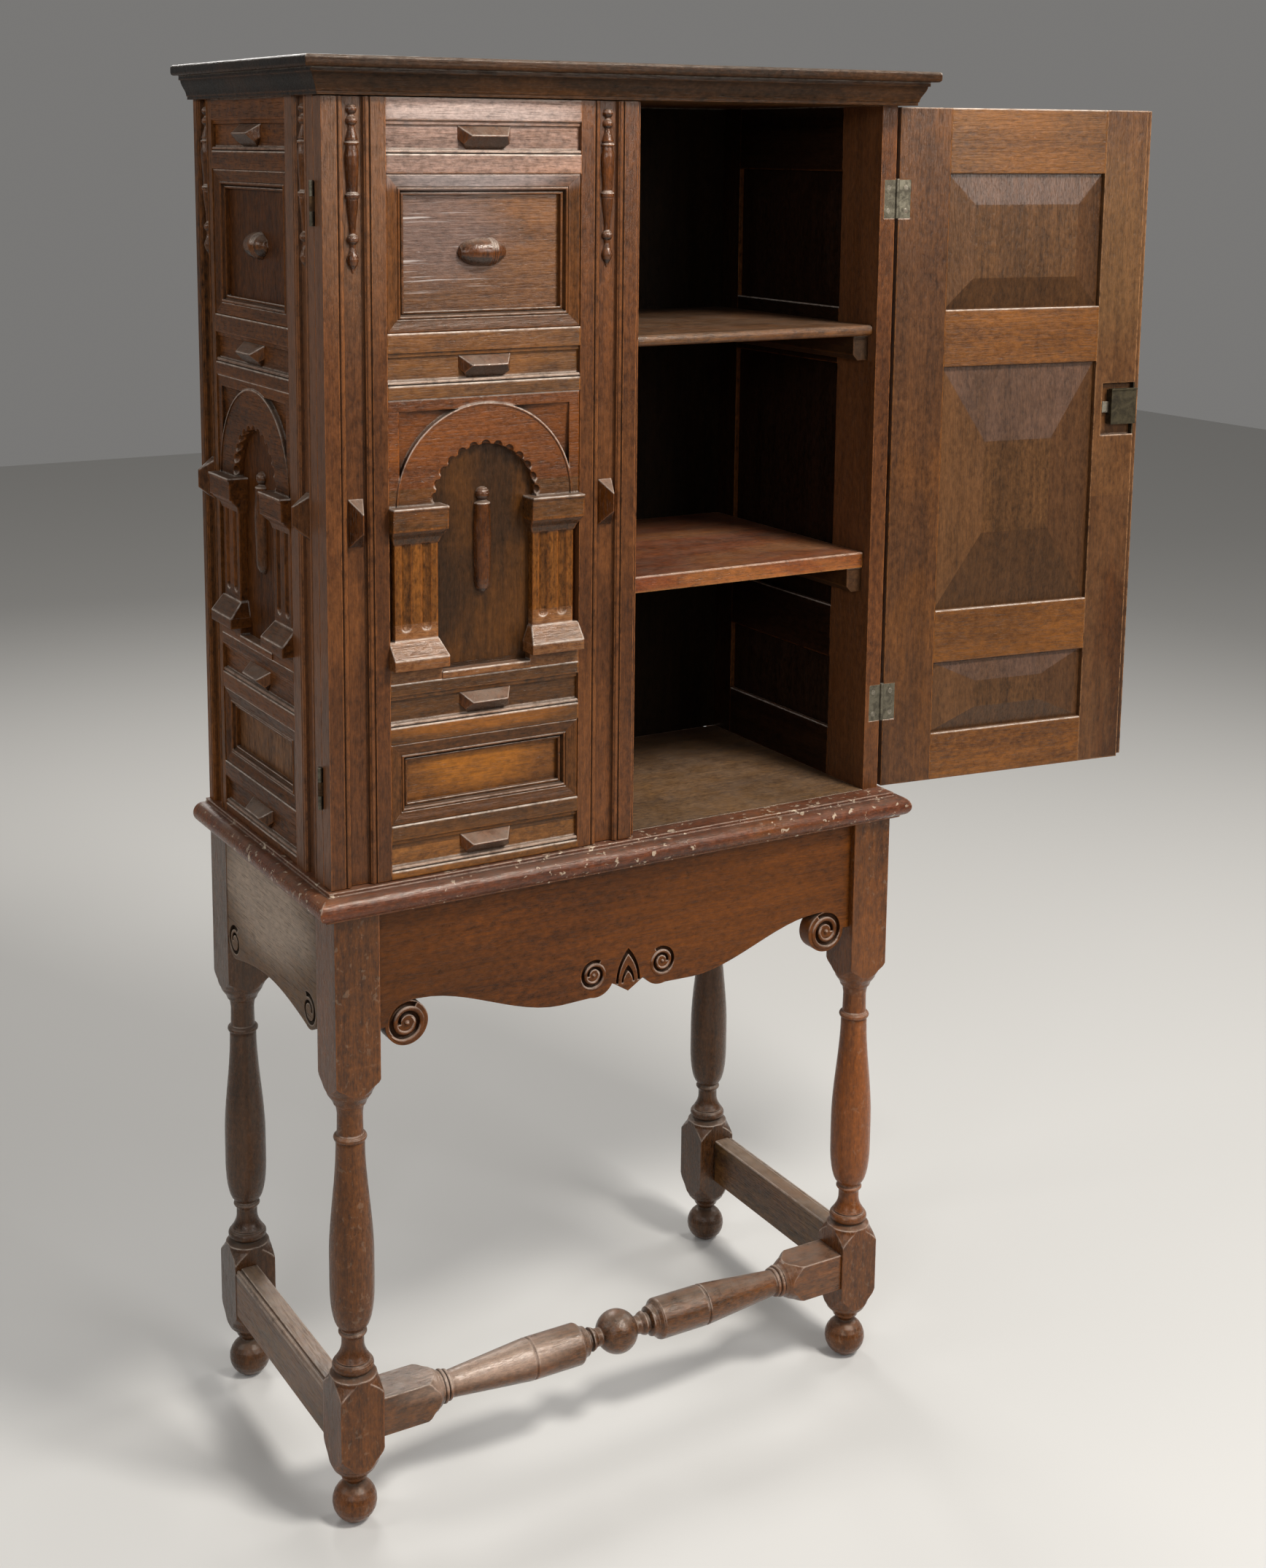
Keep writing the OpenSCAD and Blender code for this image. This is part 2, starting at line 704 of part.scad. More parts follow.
// A block with four slopes that meet in a ridge, base w by h, height d above its base
module faceted_block(w, h, d, ridge_w, ridge_h, ridge_z) {
  intersection() {
    linear_extrude(h)
      polygon([[-w / 2, 0], [w / 2, 0], [ridge_w / 2, -d], [-ridge_w / 2, -d]]);
    translate([w / 2, 0, 0])
      rotate([0, -90, 0])
        linear_extrude(w)
          polygon([[0, 0], [h, 0], [ridge_z + ridge_h, -d], [ridge_z, -d]]);
  }
}

clip_w = 10;
clip_h = 11;

// A rail's block: faceted, with its two lower corners clipped
module frieze_block() {
  intersection() {
    faceted_block(block_w, block_h, frieze_d + block_proud, block_w * 0.68, 1, block_h * 0.55);
    translate([0, 1, 0])
      rotate([90, 0, 0])
        linear_extrude(frieze_d + block_proud + 2)
          polygon([[-block_w / 2 + clip_w, 0], [block_w / 2 - clip_w, 0], [block_w / 2, clip_h],
            [block_w / 2, block_h], [-block_w / 2, block_h], [-block_w / 2, clip_h]]);
  }
}

// Ornaments of one face: blocks on the rails, blocks and balusters in the channels, drop and boss
module face_ornaments(w, fh, left_c, right_c) {
  for (i = [0:3])
    translate([w / 2, frieze_d, fh - frieze_mid(fh, i) - block_h / 2])
      frieze_block();
  for (c = [left_c, right_c]) {
    translate([c, channel_d, fh - prism_drop - prism_h])
      faceted_block(prism_w, prism_h, channel_d + prism_proud, 1, prism_h * 0.4, prism_h * 0.34);
    translate([c, channel_d, fh - baluster_drop])
      split_turning(baluster_profile(baluster_r, baluster_l), baluster_l);
  }
  translate([w / 2, panel_recess, fh - open_2 - drop_start])
    split_turning(drop_profile(drop_r, drop_l), drop_l);
  translate([w / 2 - boss_l / 2, panel_recess, fh - open_1 - panel_1_h / 2])
    rotate([0, -90, 0])
      split_turning(boss_profile(boss_r, boss_l), boss_l);
}

// Doors. Local frame: x from the hinge edge, y in from the outer face, z up.

leaf_gap = 0.3;
hinge_axis_x = -knuckle_r - leaf_gap;
hinge_axis_y = door_t + door_rear_gap / 2;
channel_off = stile_w / 2;
hinge_zs = [hinge_off, door_h - hinge_off - hinge_h];
lock_z = door_h - lock_drop;
lock_x1 = door_w(1) - right_lip_w;
keyhole_z = lock_z - lock_h * 0.6;

// Puts a part of a door in place: side -1 is the left door, 1 the right door swung open
module door_place(side) {
  if (side < 0) {
    translate([-case_w / 2, door_front_y, stand_h + door_end_gap])
      children();
  } else {
    translate([case_w / 2 - hinge_axis_x, door_front_y + hinge_axis_y, stand_h + door_end_gap])
      rotate([0, 0, right_open])
        translate([hinge_axis_x, -hinge_axis_y, 0])
          mirror([1, 0, 0])
            children();
  }
}

// Pockets in a door's inner face for its hinge leaves
module door_leaf_pockets() {
  for (z = hinge_zs)
    translate([-1, door_t - leaf_t, z])
      cube([leaf_w + hinge_axis_x + 1, leaf_t + 1, hinge_h]);
}

module door_hinge_stile() {
  difference() {
    stile_bar(stile_w, channel_off, door_t, door_h);
    stile_groove(stile_w, door_h);
    door_leaf_pockets();
    screw_row(door_t, -1, screw_gap);
  }
}

// The left meeting stile keeps an inner lip; the right one keeps an outer lip and holds the lock
module door_meeting_stile(side) {
  w = meet_stile_w(side);
  translate([door_w(side) - w, 0, 0])
    difference() {
      union() {
        stile_bar(w, w - channel_off, door_t, door_h);
        if (side < 0)
          translate([w - seam, lip_t + lip_gap, 0])
            cube([lip_w + seam, door_t - lip_t - lip_gap, door_h]);
      }
      stile_groove(0, door_h);
      if (side > 0) {
        translate([w - right_lip_w, lip_t, -1])
          cube([right_lip_w + 1, door_t, door_h + 2]);
        translate([w - right_lip_w - lock_w - bolt_tail - 2, lock_y0, lock_z - lock_h - lock_recess_low])
          cube([lock_w + bolt_tail + 3, lock_d, lock_h + lock_recess_low + lock_recess_high]);
        keyhole_cut(w - channel_off);
      } else {
        translate([w + lip_w - strike_depth, bolt_y0 - 1, bolt_z0 - 1])
          cube([strike_depth + 1, bolt_t + 2, bolt_h + 2]);
        translate([w + lip_w - strike_t, strike_y0, bolt_z0 - strike_end])
          cube([strike_t + 1, strike_w + 1, bolt_h + 2 * strike_end]);
      }
    }
}

keyhole_r = 1.9;
keyhole_l = 11;
lip_gap = 0.5;
screw_gap = 0.05;

// The keyhole through the right meeting stile, in the floor of its channel
module keyhole_cut(x) {
  translate([x, -1, keyhole_z]) {
    rotate([-90, 0, 0])
      cylinder(r = keyhole_r, h = door_t, $fn = 24);
    translate([-keyhole_r / 2, 0, -keyhole_l])
      cube([keyhole_r, door_t, keyhole_l]);
  }
}

module door_rails(side) {
  translate([stile_w, 0, 0])
    face_rails(door_open_w(side), door_t, door_h);
}

module door_panels(side) {
  translate([stile_w, 0, 0])
    face_panels(door_open_w(side), door_t, door_h);
}

module door_mouldings(side) {
  translate([stile_w, 0, 0])
    face_mouldings(door_open_w(side), door_h);
}

module door_arcade(side) {
  translate([stile_w, 0, 0])
    face_arcade(door_open_w(side), door_h);
}

module door_ornaments(side) {
  w = door_open_w(side);
  translate([stile_w, 0, 0])
    face_ornaments(w, door_h, channel_off - stile_w, w + meet_stile_w(side) - channel_off);
}

// Case sides. Local frame of the left side: x from the back edge, y in from the outer face, z up.

module side_place(side) {
  if (side < 0) {
    translate([-case_w / 2, back_y, stand_h])
      rotate([0, 0, -90])
        children();
  } else {
    mirror([1, 0, 0])
      side_place(-1)
        children();
  }
}

side_front_x = case_d - front_stile_w;

// Pockets in the front edge of a case side for the fixed hinge leaves
module case_leaf_pockets() {
  for (z = hinge_zs)
    translate([case_d - leaf_t, -1, door_end_gap + z])
      cube([leaf_t + 1, leaf_w + hinge_axis_x + 1, hinge_h]);
}

module side_front_stile() {
  difference() {
    translate([side_front_x, 0, 0])
      stile_bar(front_stile_w, front_stile_w - front_channel_off, side_t, case_h);
    stile_groove(side_front_x, case_h);
    case_leaf_pockets();
    translate([case_d, 0, door_end_gap])
      rotate([0, 0, 90])
        screw_row(0, 1, screw_gap);
  }
}

module side_back_stile() {
  difference() {
    stile_bar(back_stile_w, back_stile_w / 2, side_t, case_h);
    stile_groove(back_stile_w, case_h);
  }
}

module side_rails() {
  translate([back_stile_w, 0, 0])
    face_rails(side_open_w, side_t, case_h);
}

module side_panels() {
  translate([back_stile_w, 0, 0])
    face_panels(side_open_w, side_t, case_h);
}

module side_mouldings() {
  translate([back_stile_w, 0, 0])
    face_mouldings(side_open_w, case_h);
}

module side_arcade() {
  translate([back_stile_w, 0, 0])
    face_arcade(side_open_w, case_h);
}

module side_ornaments() {
  translate([back_stile_w, 0, 0])
    face_ornaments(side_open_w, case_h, -back_stile_w / 2, side_open_w + front_stile_w - front_channel_off);
}

// Case boards

ring_w = 40;
ring_rebate = ring_w - side_t;
face_front_y = door_front_y;
face_d = back_y - face_front_y;

// The floor lies in a rebate of the stand's top moulding, flush with its top
module case_floor() {
  color(inner_oak)
    translate([-case_w / 2 + ring_w - ring_rebate, face_front_y + ring_w - ring_rebate, stand_h - floor_t])
      cube([case_w - 2 * (ring_w - ring_rebate), face_d - 2 * (ring_w - ring_rebate), floor_t]);
}

module case_top() {
  color(oak_dark)
    translate([-case_w / 2, face_front_y, case_top_z])
      cube([case_w, face_d, bed_h]);
}

module case_back() {
  color(inner_oak)
    translate([-inner_w / 2, back_front_y, stand_h])
      cube([inner_w, back_t, case_h]);
}

// A shelf: the upper one has a rounded nose, the lower one a square edge
module shelf_board(z, t, setback, nose_r) {
  y0 = case_front_y + setback;
  l = inner_w - 2 * shelf_gap;
  d = back_front_y - shelf_gap - y0;
  translate([l / 2, y0, stand_h + z - t])
    rotate([0, -90, 0])
      linear_extrude(l)
        polygon(concat([[0, d]],
          arc(nose_r, nose_r, nose_r, 180, 270, 5), arc(t - nose_r, nose_r, nose_r, 270, 360, 5), [[t, d]]));
}

module upper_shelf() {
  color(inner_oak)
    shelf_board(shelf_1_z, shelf_1_t, shelf_1_back, shelf_1_t * 0.46);
}

module lower_shelf() {
  color(oak_light)
    shelf_board(shelf_2_z, shelf_2_t, shelf_2_back, 1.5);
}

// A bearer under each end of a shelf, its lower inner corner chamfered
module shelf_bearers() {
  y0 = case_front_y + shelf_2_back + 3;
  color(inner_oak)
    for (top = [shelf_1_z - shelf_1_t, shelf_2_z - shelf_2_t])
      for (m = [0, 1])
        mirror([m, 0, 0])
          translate([-inner_w / 2, back_front_y, stand_h + top - bearer_h])
            rotate([90, 0, 0])
              linear_extrude(back_front_y - y0)
                polygon([[0, 0], [bearer_w - 7, 0], [bearer_w, 7], [bearer_w, bearer_h], [0, bearer_h]]);
}

// Mouldings that run round the front and both sides, mitred at the corners.
// profile: first number outwards from the case face, second upwards. The strip's back end is square.

module run_front(profile, reach, h) {
  l = case_w + 2 * reach;
  intersection() {
    translate([l / 2, face_front_y, 0])
      rotate([90, 0, -90])
        linear_extrude(l)
          polygon(profile);
    translate([0, face_front_y, -1])
      linear_extrude(h + 2)
        polygon([[-case_w / 2 - reach, -reach], [case_w / 2 + reach, -reach],
          [case_w / 2 - ring_w, ring_w], [-case_w / 2 + ring_w, ring_w]]);
  }
}

module run_side(profile, reach, h) {
  l = face_d + reach;
  intersection() {
    translate([-case_w / 2, back_y, 0])
      rotate([90, 0, 0])
        linear_extrude(l)
          polygon([for (p = profile) [-p[0], p[1]]]);
    translate([-case_w / 2, face_front_y, -1])
      linear_extrude(h + 2)
        polygon([[-reach, -reach], [ring_w, ring_w], [ring_w, face_d], [-reach, face_d]]);
  }
}

module run_round(profile, reach, h) {
  run_front(profile, reach, h);
  run_side(profile, reach, h);
  mirror([1, 0, 0])
    run_side(profile, reach, h);
}

// The stand's top: fillet, large bullnose and lower fillet, with a rebate for the floor
nose_x = top_mould_over - nose_r;
nose_z = nose_r + 2;
step_x = 5;
stand_profile = concat(
  [[-ring_w, 0], [nose_x + 2, 0], [nose_x + 2, 1.6]],
  arc(nose_x, nose_z, nose_r, -72, 90, 12),
  [[step_x + 0.5, nose_z + nose_r], [step_x, nose_z + nose_r + 1], [step_x, top_mould_h],
    [-ring_w + ring_rebate, top_mould_h], [-ring_w + ring_rebate, top_mould_h - floor_t],
    [-ring_w, top_mould_h - floor_t]]);

module stand_moulding() {
  color(oak)
    translate([0, 0, leg_top_z]) {
      run_round(stand_profile, top_mould_over, top_mould_h);
      translate([-case_w / 2 + ring_w, back_y - ring_w, 0])
        difference() {
          cube([case_w - 2 * ring_w, ring_w, top_mould_h]);
          translate([-1, -1, top_mould_h - floor_t])
            cube([case_w - 2 * ring_w + 2, ring_rebate + 1, floor_t + 1]);
        }
    }
}

// The cornice: a bed moulding under a square-edged cap board
bed_profile = concat(
  [[0, 0], [bed_foot, 0], [bed_foot, 3.5]],
  [for (i = [0:6]) [bed_foot + 1 + (bed_over - bed_foot - 3) * smooth(i / 6), 4 + (bed_h - 9) * i / 6]],
  [[bed_over, bed_h - 5], [bed_over, bed_h], [0, bed_h]]);

module cornice_moulding() {
  color(oak_dark)
    translate([0, 0, case_top_z])
      run_round(bed_profile, bed_over, bed_h);
}

// The cap board's edge on three sides: rounded above and below
cap_profile = concat(
  [[-ring_w, 0]],
  arc(cornice_over - cap_edge_r, cap_edge_r, cap_edge_r, -90, 0, 4),
  arc(cornice_over - cap_edge_r, cap_t - cap_edge_r, cap_edge_r, 0, 90, 4),
  [[-ring_w, cap_t]]);

module cap_board() {
  color(oak_dark)
    translate([0, 0, case_top_z + bed_h]) {
      run_round(cap_profile, cornice_over, cap_t);
      translate([-case_w / 2 + ring_w - seam, face_front_y + ring_w - seam, 0])
        cube([case_w - 2 * ring_w + 2 * seam, face_d - ring_w + seam, cap_t]);
    }
}

// Legs

// Heights of the turnings above the lower block, and below the upper block
ring_z = lower_block_top + 10;
collar_z = lower_block_top + 47;
vase_z = collar_z + 9;
top_ring_z = upper_block_z - 72.5;
neck_top = upper_block_z - 34;
// Turned outline of a leg, radius and height, from the floor up
leg_profile = concat(
  [[0, 0]],
  [for (i = [0:10]) let (a = acos(foot_z / foot_r) + (158 - acos(foot_z / foot_r)) * i / 10)
    [foot_r * sin(a), foot_z - foot_r * cos(a)]],
  [[neck_r - 3.5, foot_z + foot_r + 1], [neck_r - 1, foot_z + foot_r + 4]],
  swell(neck_r + 1, foot_z + foot_r + 5, leg_w * 0.5, lower_block_z - 4, 4),
  swell(leg_w * 0.53, lower_block_z - 2, leg_w * 0.72, lower_block_z + 22, 3),
  swell(leg_w * 0.72, lower_block_top - 24, leg_w * 0.51, lower_block_top - 1, 5),
  [[leg_w * 0.42, lower_block_top + 2]],
  arc(leg_w * 0.33, ring_z, 6.5, -75, 75, 8),
  [for (i = [0:6]) [neck_r - 1.5 + 7 * pow(1 - i / 6, 2), ring_z + 7.5 + 19 * i / 6]],
  [[neck_r - 1.5, collar_z - 3]],
  arc(neck_r - 1, collar_z + 3, 3, -75, 75, 5),
  [[neck_r - 0.5, vase_z - 2]],
  [for (i = [0:8]) let (a = 90 * i / 8)
    [neck_r + (vase_r - neck_r) * sin(a), vase_z + 50 * (1 - cos(a))]],
  swell(vase_r, vase_z + 88, neck_r + 2, top_ring_z - 7, 12),
  [[neck_r + 1.5, top_ring_z - 4.5]],
  arc(neck_r + 0.5, top_ring_z, 4, -80, 80, 6),
  [[neck_r + 0.5, top_ring_z + 4.5], [neck_r, neck_top - 10], [neck_r + 1.5, neck_top]],
  swell(neck_r + 4, neck_top + 2, leg_w * 0.5, upper_block_z - 16, 4),
  swell(leg_w * 0.53, upper_block_z - 14, leg_w * 0.72, upper_block_z + 1, 3),
  [[leg_w * 0.72, leg_top_z], [0, leg_top_z]]);

module leg(sx, sy) {
  translate([sx * leg_x, sy * leg_y, 0])
    intersection() {
      rotate_extrude($fn = 64)
        polygon(leg_profile);
      translate([-leg_w / 2, -leg_w / 2, -1])
        cube([leg_w, leg_w, leg_top_z + 1]);
    }
}

// Aprons

span_x = 2 * leg_x - leg_w;
span_y = 2 * leg_y - leg_w;
apron_reveal = 0.4;
pendant_w = 35;
notch_h = 11;
lancet_h = 42;
lancet_line = 3.2;
c_scroll_x = 44;
c_scroll_r = 25;
apron_flat_x = 90;
scroll_groove = 5;
scroll_turns = 1.35;

volute_x = span_x / 2 - volute_off;
volute_z = -apron_high - volute_r;
c_scroll_z = -apron_low + c_scroll_r;
pendant_tip = 9;

// Half of the front apron's outline, from the tip of the pendant out to the leg
function apron_half(s) = concat(
  [[0, -apron_low], [s * pendant_tip, -apron_low + 5.5], [s * pendant_w / 2, -apron_low + notch_h]],
  [[s * c_scroll_x, c_scroll_z], [s * (c_scroll_x + 6), -apron_low + 1]],
  [for (i = [0:12])
    [s * (apron_flat_x + (volute_x - volute_r * 0.55 - apron_flat_x) * i / 12),
      -apron_low + (apron_low - apron_high) * smooth(i / 12)]],
  [[s * volute_x, -apron_high], [s * volute_x, volute_z], [s * span_x / 2, volute_z], [s * span_x / 2, 0]]);

module front_apron_shape() {
  polygon(concat(apron_half(1), reversed(apron_half(-1))));
  for (s = [-1, 1]) {
    translate([s * volute_x, volute_z])
      circle(r = volute_r, $fn = 64);
    translate([s * c_scroll_x, c_scroll_z])
      circle(r = c_scroll_r, $fn = 64);
  }
}

// Point of a scroll's groove at the share t of its run, at the distance o from its middle line
function scroll_point(r, t, o) =
  let (a = 60 + 360 * scroll_turns * t, q = r * (0.84 - 0.5 * t) + o * (1 - 0.4 * t))
  [q * cos(a), q * sin(a)];
scroll_steps = 44;

// A spiral groove that marks a scroll of radius r on an apron's face
module scroll_cut(r) {
  line = r * 0.13;
  rotate([90, 0, 0])
    translate([0, 0, -scroll_groove])
      linear_extrude(scroll_groove + 2)
        polygon(concat(
          [for (i = [0:scroll_steps]) scroll_point(r, i / scroll_steps, line)],
          [for (i = [scroll_steps:-1:0]) scroll_point(r, i / scroll_steps, -line)]));
}

// A pointed arch of half width a and height h, standing on the x axis
module lancet(a, h) {
  r = (h * h + a * a) / (2 * a);
  intersection() {
    translate([r - a, 0])
      circle(r = r, $fn = 96);
    translate([a - r, 0])
      circle(r = r, $fn = 96);
    translate([-a, 0])
      square([2 * a, h]);
  }
}

// The groove of a pointed arch above the pendant, and a small one inside it
module lancet_cut() {
  rotate([90, 0, 0])
    translate([0, notch_h - apron_low, -scroll_groove])
      linear_extrude(scroll_groove + 2) {
        difference() {
          lancet(pendant_w / 2 - 1, lancet_h);
          translate([0, -1])
            lancet(pendant_w / 2 - 1 - lancet_line, lancet_h - 2 * lancet_line);
        }
        difference() {
          lancet(pendant_w / 4, lancet_h * 0.5);
          translate([0, -1])
            lancet(pendant_w / 4 - lancet_line * 0.7, lancet_h * 0.5 - 2 * lancet_line);
        }
      }
}

module front_apron() {
  color(oak_light)
    translate([0, leg_front_y + front_apron_set, leg_top_z])
      difference() {
        translate([0, apron_t, 0])
          rotate([90, 0, 0])
            linear_extrude(apron_t)
              front_apron_shape();
        for (m = [0, 1])
          mirror([m, 0, 0]) {
            translate([-volute_x, 0, volute_z])
              scroll_cut(volute_r);
            translate([-c_scroll_x - 3, 0, c_scroll_z + 3])
              scroll_cut(c_scroll_r * 0.8);
          }
        lancet_cut();
      }
}

side_volute_off = side_volute_r + 2;

module side_apron_shape() {
  polygon(concat(
    [[-span_y / 2, 0], [-span_y / 2, -side_apron_low + side_volute_r]],
    [[-span_y / 2 + side_volute_off, -side_apron_low + side_volute_r]],
    [for (i = [0:16]) let (t = i / 16, x = -span_y / 2 + side_volute_off + (span_y - 2 * side_volute_off) * t)
      [x, -side_apron_low + (side_apron_low - side_apron_high) * sin(180 * t)]],
    [[span_y / 2 - side_volute_off, -side_apron_low + side_volute_r]],
    [[span_y / 2, -side_apron_low + side_volute_r], [span_y / 2, 0]]));
  for (s = [-1, 1])
    translate([s * (span_y / 2 - side_volute_off), -side_apron_low + side_volute_r])
      circle(r = side_volute_r, $fn = 64);
}

module side_apron() {
  color(oak)
    translate([-stand_w / 2 + apron_reveal, 0, leg_top_z])
      rotate([0, 0, -90])
        difference() {
          translate([0, apron_t, 0])
            rotate([90, 0, 0])
              linear_extrude(apron_t)
                side_apron_shape();
          for (m = [0, 1])
            mirror([m, 0, 0])
              translate([-span_y / 2 + side_volute_off, 0, -side_apron_low + side_volute_r])
                scroll_cut(side_volute_r);
        }
}

module back_apron() {
  color(oak_dark)
    translate([-span_x / 2, back_y - apron_reveal - apron_t, leg_top_z - back_apron_h])
      cube([span_x, apron_t, back_apron_h]);
}

// Stretchers

block_x = span_x / 2 - stretcher_block_l;
bead_l = 13;
taper_x = block_x - bead_l;
ring_x = taper_x * 0.54;
ball_neck_x = stretcher_ball_r + 15;
// Half outline of the front stretcher, radius and distance from the middle
half_stretcher = concat(
  [for (i = [0:8]) [stretcher_ball_r * cos(66 * i / 8), stretcher_ball_r * sin(66 * i / 8)]],
  [[11, ball_neck_x - 11], [13.5, ball_neck_x - 7], [14.5, ball_neck_x - 4]],
  [[11.5, ball_neck_x - 2], [11.5, ball_neck_x + 1]],
  [[15, ball_neck_x + 2.5], [18, ball_neck_x + 4], [18.5, ball_neck_x + 7]],
  swell(19, ball_neck_x + 8, stretcher_r, ball_neck_x + 16, 4),
  [[stretcher_r, ring_x - 4], [stretcher_r - 1.6, ring_x - 2.5], [stretcher_r - 1.6, ring_x - 1],
    [stretcher_r, ring_x], [stretcher_r - 0.4, ring_x + 5]],
  [for (i = [1:6])
    [stretcher_r - 0.4 - (stretcher_r - 16.4) * i / 6, ring_x + 5 + (taper_x - ring_x - 9) * i / 6]],
  [[15.5, taper_x - 2], [15.5, taper_x]],
  arc(16, taper_x + 2.6, 2.4, -80, 80, 4),
  [[16.8, taper_x + 5.6]],
  arc(17.6, taper_x + 8.4, 2.4, -80, 80, 4),
  swell(19, taper_x + 11.5, stretcher_w * 0.5, block_x + 6, 3),
  swell(stretcher_w * 0.53, block_x + 8, stretcher_w * 0.72, block_x + 24, 3),
  [[stretcher_w * 0.72, span_x / 2], [0, span_x / 2]]);

module front_stretcher() {
  color(oak)
    translate([0, -leg_y, stretcher_z])
      intersection() {
        rotate([0, 90, 0])
          rotate_extrude($fn = 64)
            polygon(concat([[0, -span_x / 2]],
              [for (p = reversed(half_stretcher)) if (p[0] > 0 || p[1] < span_x / 2) [p[0], -p[1]]],
              [for (p = half_stretcher) if (p[1] > 0) p]));
        union() {
          translate([-span_x / 2, -stretcher_w / 2, -stretcher_w / 2])
            cube([span_x, stretcher_w, stretcher_w]);
          translate([-block_x, -stretcher_w, -stretcher_w])
            cube([2 * block_x, 2 * stretcher_w, 2 * stretcher_w]);
        }
      }
}

// A side stretcher, moulded along the outer top edge
module side_stretcher() {
  h = side_stretcher_h;
  t = side_stretcher_t;
  translate([-stand_w / 2 + apron_reveal, span_y / 2, side_stretcher_z])
    rotate([90, 0, 0])
      linear_extrude(span_y)
        polygon(concat([[0, 0], [0, h - 6], [1.2, h - 5]],
          arc(3.4, h - 3.4, 2.2, 200, 70, 4),
          [[5.4, h - 2.6], [6.4, h - 2.6], [7.6, h], [t - 1, h], [t, h - 1], [t, 0]]));
}

// Hinges

knuckle_n = 3;

// Knuckles of one leaf: which = 0 takes the outer two, 1 the middle one
module knuckles(which, bore) {
  step = hinge_h / knuckle_n;
  for (i = [0:knuckle_n - 1])
    if (i % 2 == which)
      translate([0, 0, i * step + leaf_gap / 2])
        difference() {
          cylinder(r = knuckle_r, h = step - leaf_gap, $fn = 32);
          translate([0, 0, -1])
            cylinder(r = bore, h = step + 2, $fn = 32);
        }
}

// One leaf in the left door's local frame: dir 1 is the leaf on the door, -1 the leaf on the case
module hinge_leaf(dir, which, bore) {
  y0 = dir > 0 ? door_t - leaf_t : door_t + door_rear_gap;
  step = hinge_h / knuckle_n;
  translate([0, y0, 0])
    cube([leaf_w + hinge_axis_x, leaf_t, hinge_h]);
  for (i = [0:knuckle_n - 1])
    if (i % 2 == which)
      difference() {
        translate([hinge_axis_x, y0, i * step + leaf_gap / 2])
          cube([-hinge_axis_x + 1, leaf_t, step - leaf_gap]);
        translate([hinge_axis_x, hinge_axis_y, i * step - 1])
          cylinder(r = bore, h = step + 2, $fn = 32);
      }
  translate([hinge_axis_x, hinge_axis_y, 0])
    knuckles(which, bore);
}

leaf_screw_x = (leaf_w + hinge_axis_x) * 0.6;
screw_zs = [hinge_h * 0.2, hinge_h * 0.8];
screw_head_r = 3;
screw_r = 1.5;
screw_tip_r = 0.4;
screw_l = 12;

// A countersunk screw, its head at z = 0, with g added all round for the hole it goes in
module screw(g) {
  rotate_extrude($fn = 24)
    polygon([[0, -g], [screw_head_r + g, -g], [screw_head_r + g, 0], [screw_r + g, leaf_t],
      [screw_r + g, screw_l - 2], [screw_tip_r + g, screw_l + g], [0, screw_l + g]]);
}

// The four screws of one door or one side, driven from the plane y_face
module screw_row(y_face, into, g) {
  for (z = hinge_zs)
    for (sz = screw_zs)
      translate([leaf_screw_x, y_face, z + sz])
        rotate([into > 0 ? -90 : 90, 0, 0])
          screw(g);
}

module leaf_pair(dir, which) {
  difference() {
    for (z = hinge_zs)
      translate([0, 0, z])
        hinge_leaf(dir, which, pin_r + pin_gap);
    screw_row(dir > 0 ? door_t : door_t + door_rear_gap, -dir, screw_gap);
  }
}

module left_frame() {
  translate([-case_w / 2, door_front_y, stand_h + door_end_gap])
    children();
}

// Both sides of the case
module both_sides() {
  for (m = [0, 1])
    mirror([m, 0, 0])
      left_frame()
        children();
}

module case_hinge_leaves() {
  color(brass)
    both_sides()
      leaf_pair(-1, 0);
}

module case_hinge_screws() {
  color(steel)
    both_sides()
      screw_row(door_t + door_rear_gap, 1, 0);
}

// The pins stand in the knuckles, each with a small head on the top knuckle
pin_head_r = 2.4;
pin_head_h = 1.4;
module hinge_pins() {
  color(steel)
    both_sides()
      for (z = hinge_zs)
        translate([hinge_axis_x, hinge_axis_y, z]) {
          cylinder(r = pin_r, h = hinge_h - leaf_gap / 2 + pin_head_h, $fn = 32);
          translate([0, 0, hinge_h - leaf_gap / 2])
            cylinder(r = pin_head_r, h = pin_head_h, $fn = 32);
        }
}

// Lock on the right door, drawn in the left door's local frame before mirroring

lock_proud = 4.5;
lock_y0 = door_t - lock_d + lock_proud;
lock_x0 = lock_x1 - lock_w;
bolt_t = 4;
bolt_h = 14;
bolt_tail = 10;
bolt_gap = 0.3;
bolt_wall = 0.5;
bolt_y0 = lock_y0 + bolt_wall + bolt_gap;
bolt_z0 = lock_z - lock_h / 2 - bolt_h / 2;
strike_t = 2;
strike_w = door_t - bolt_y0 + 2;
strike_y0 = door_t - strike_w;
strike_end = 12;
strike_depth = bolt_throw - lip_end_gap + 2;
selvedge_t = 2;

module lock_case_body() {
  difference() {
    union() {
      translate([lock_x0, lock_y0, lock_z - lock_h])
        cube([lock_w, lock_d, lock_h]);
      translate([lock_x0 - 1.5, door_t - 1, lock_z - seam])
        cube([lock_w + 1.5, lock_proud + 3, 2]);
      translate([lock_x1 - selvedge_t, lock_y0, lock_z - lock_h - lock_recess_low])
        cube([selvedge_t, door_t - lock_y0, lock_h + lock_recess_low + lock_recess_high]);
    }
    translate([lock_x0 - 1, bolt_y0 - bolt_gap, bolt_z0 - bolt_gap])
      cube([lock_w + 2, bolt_t + 2 * bolt_gap, bolt_h + 2 * bolt_gap]);
  }
}

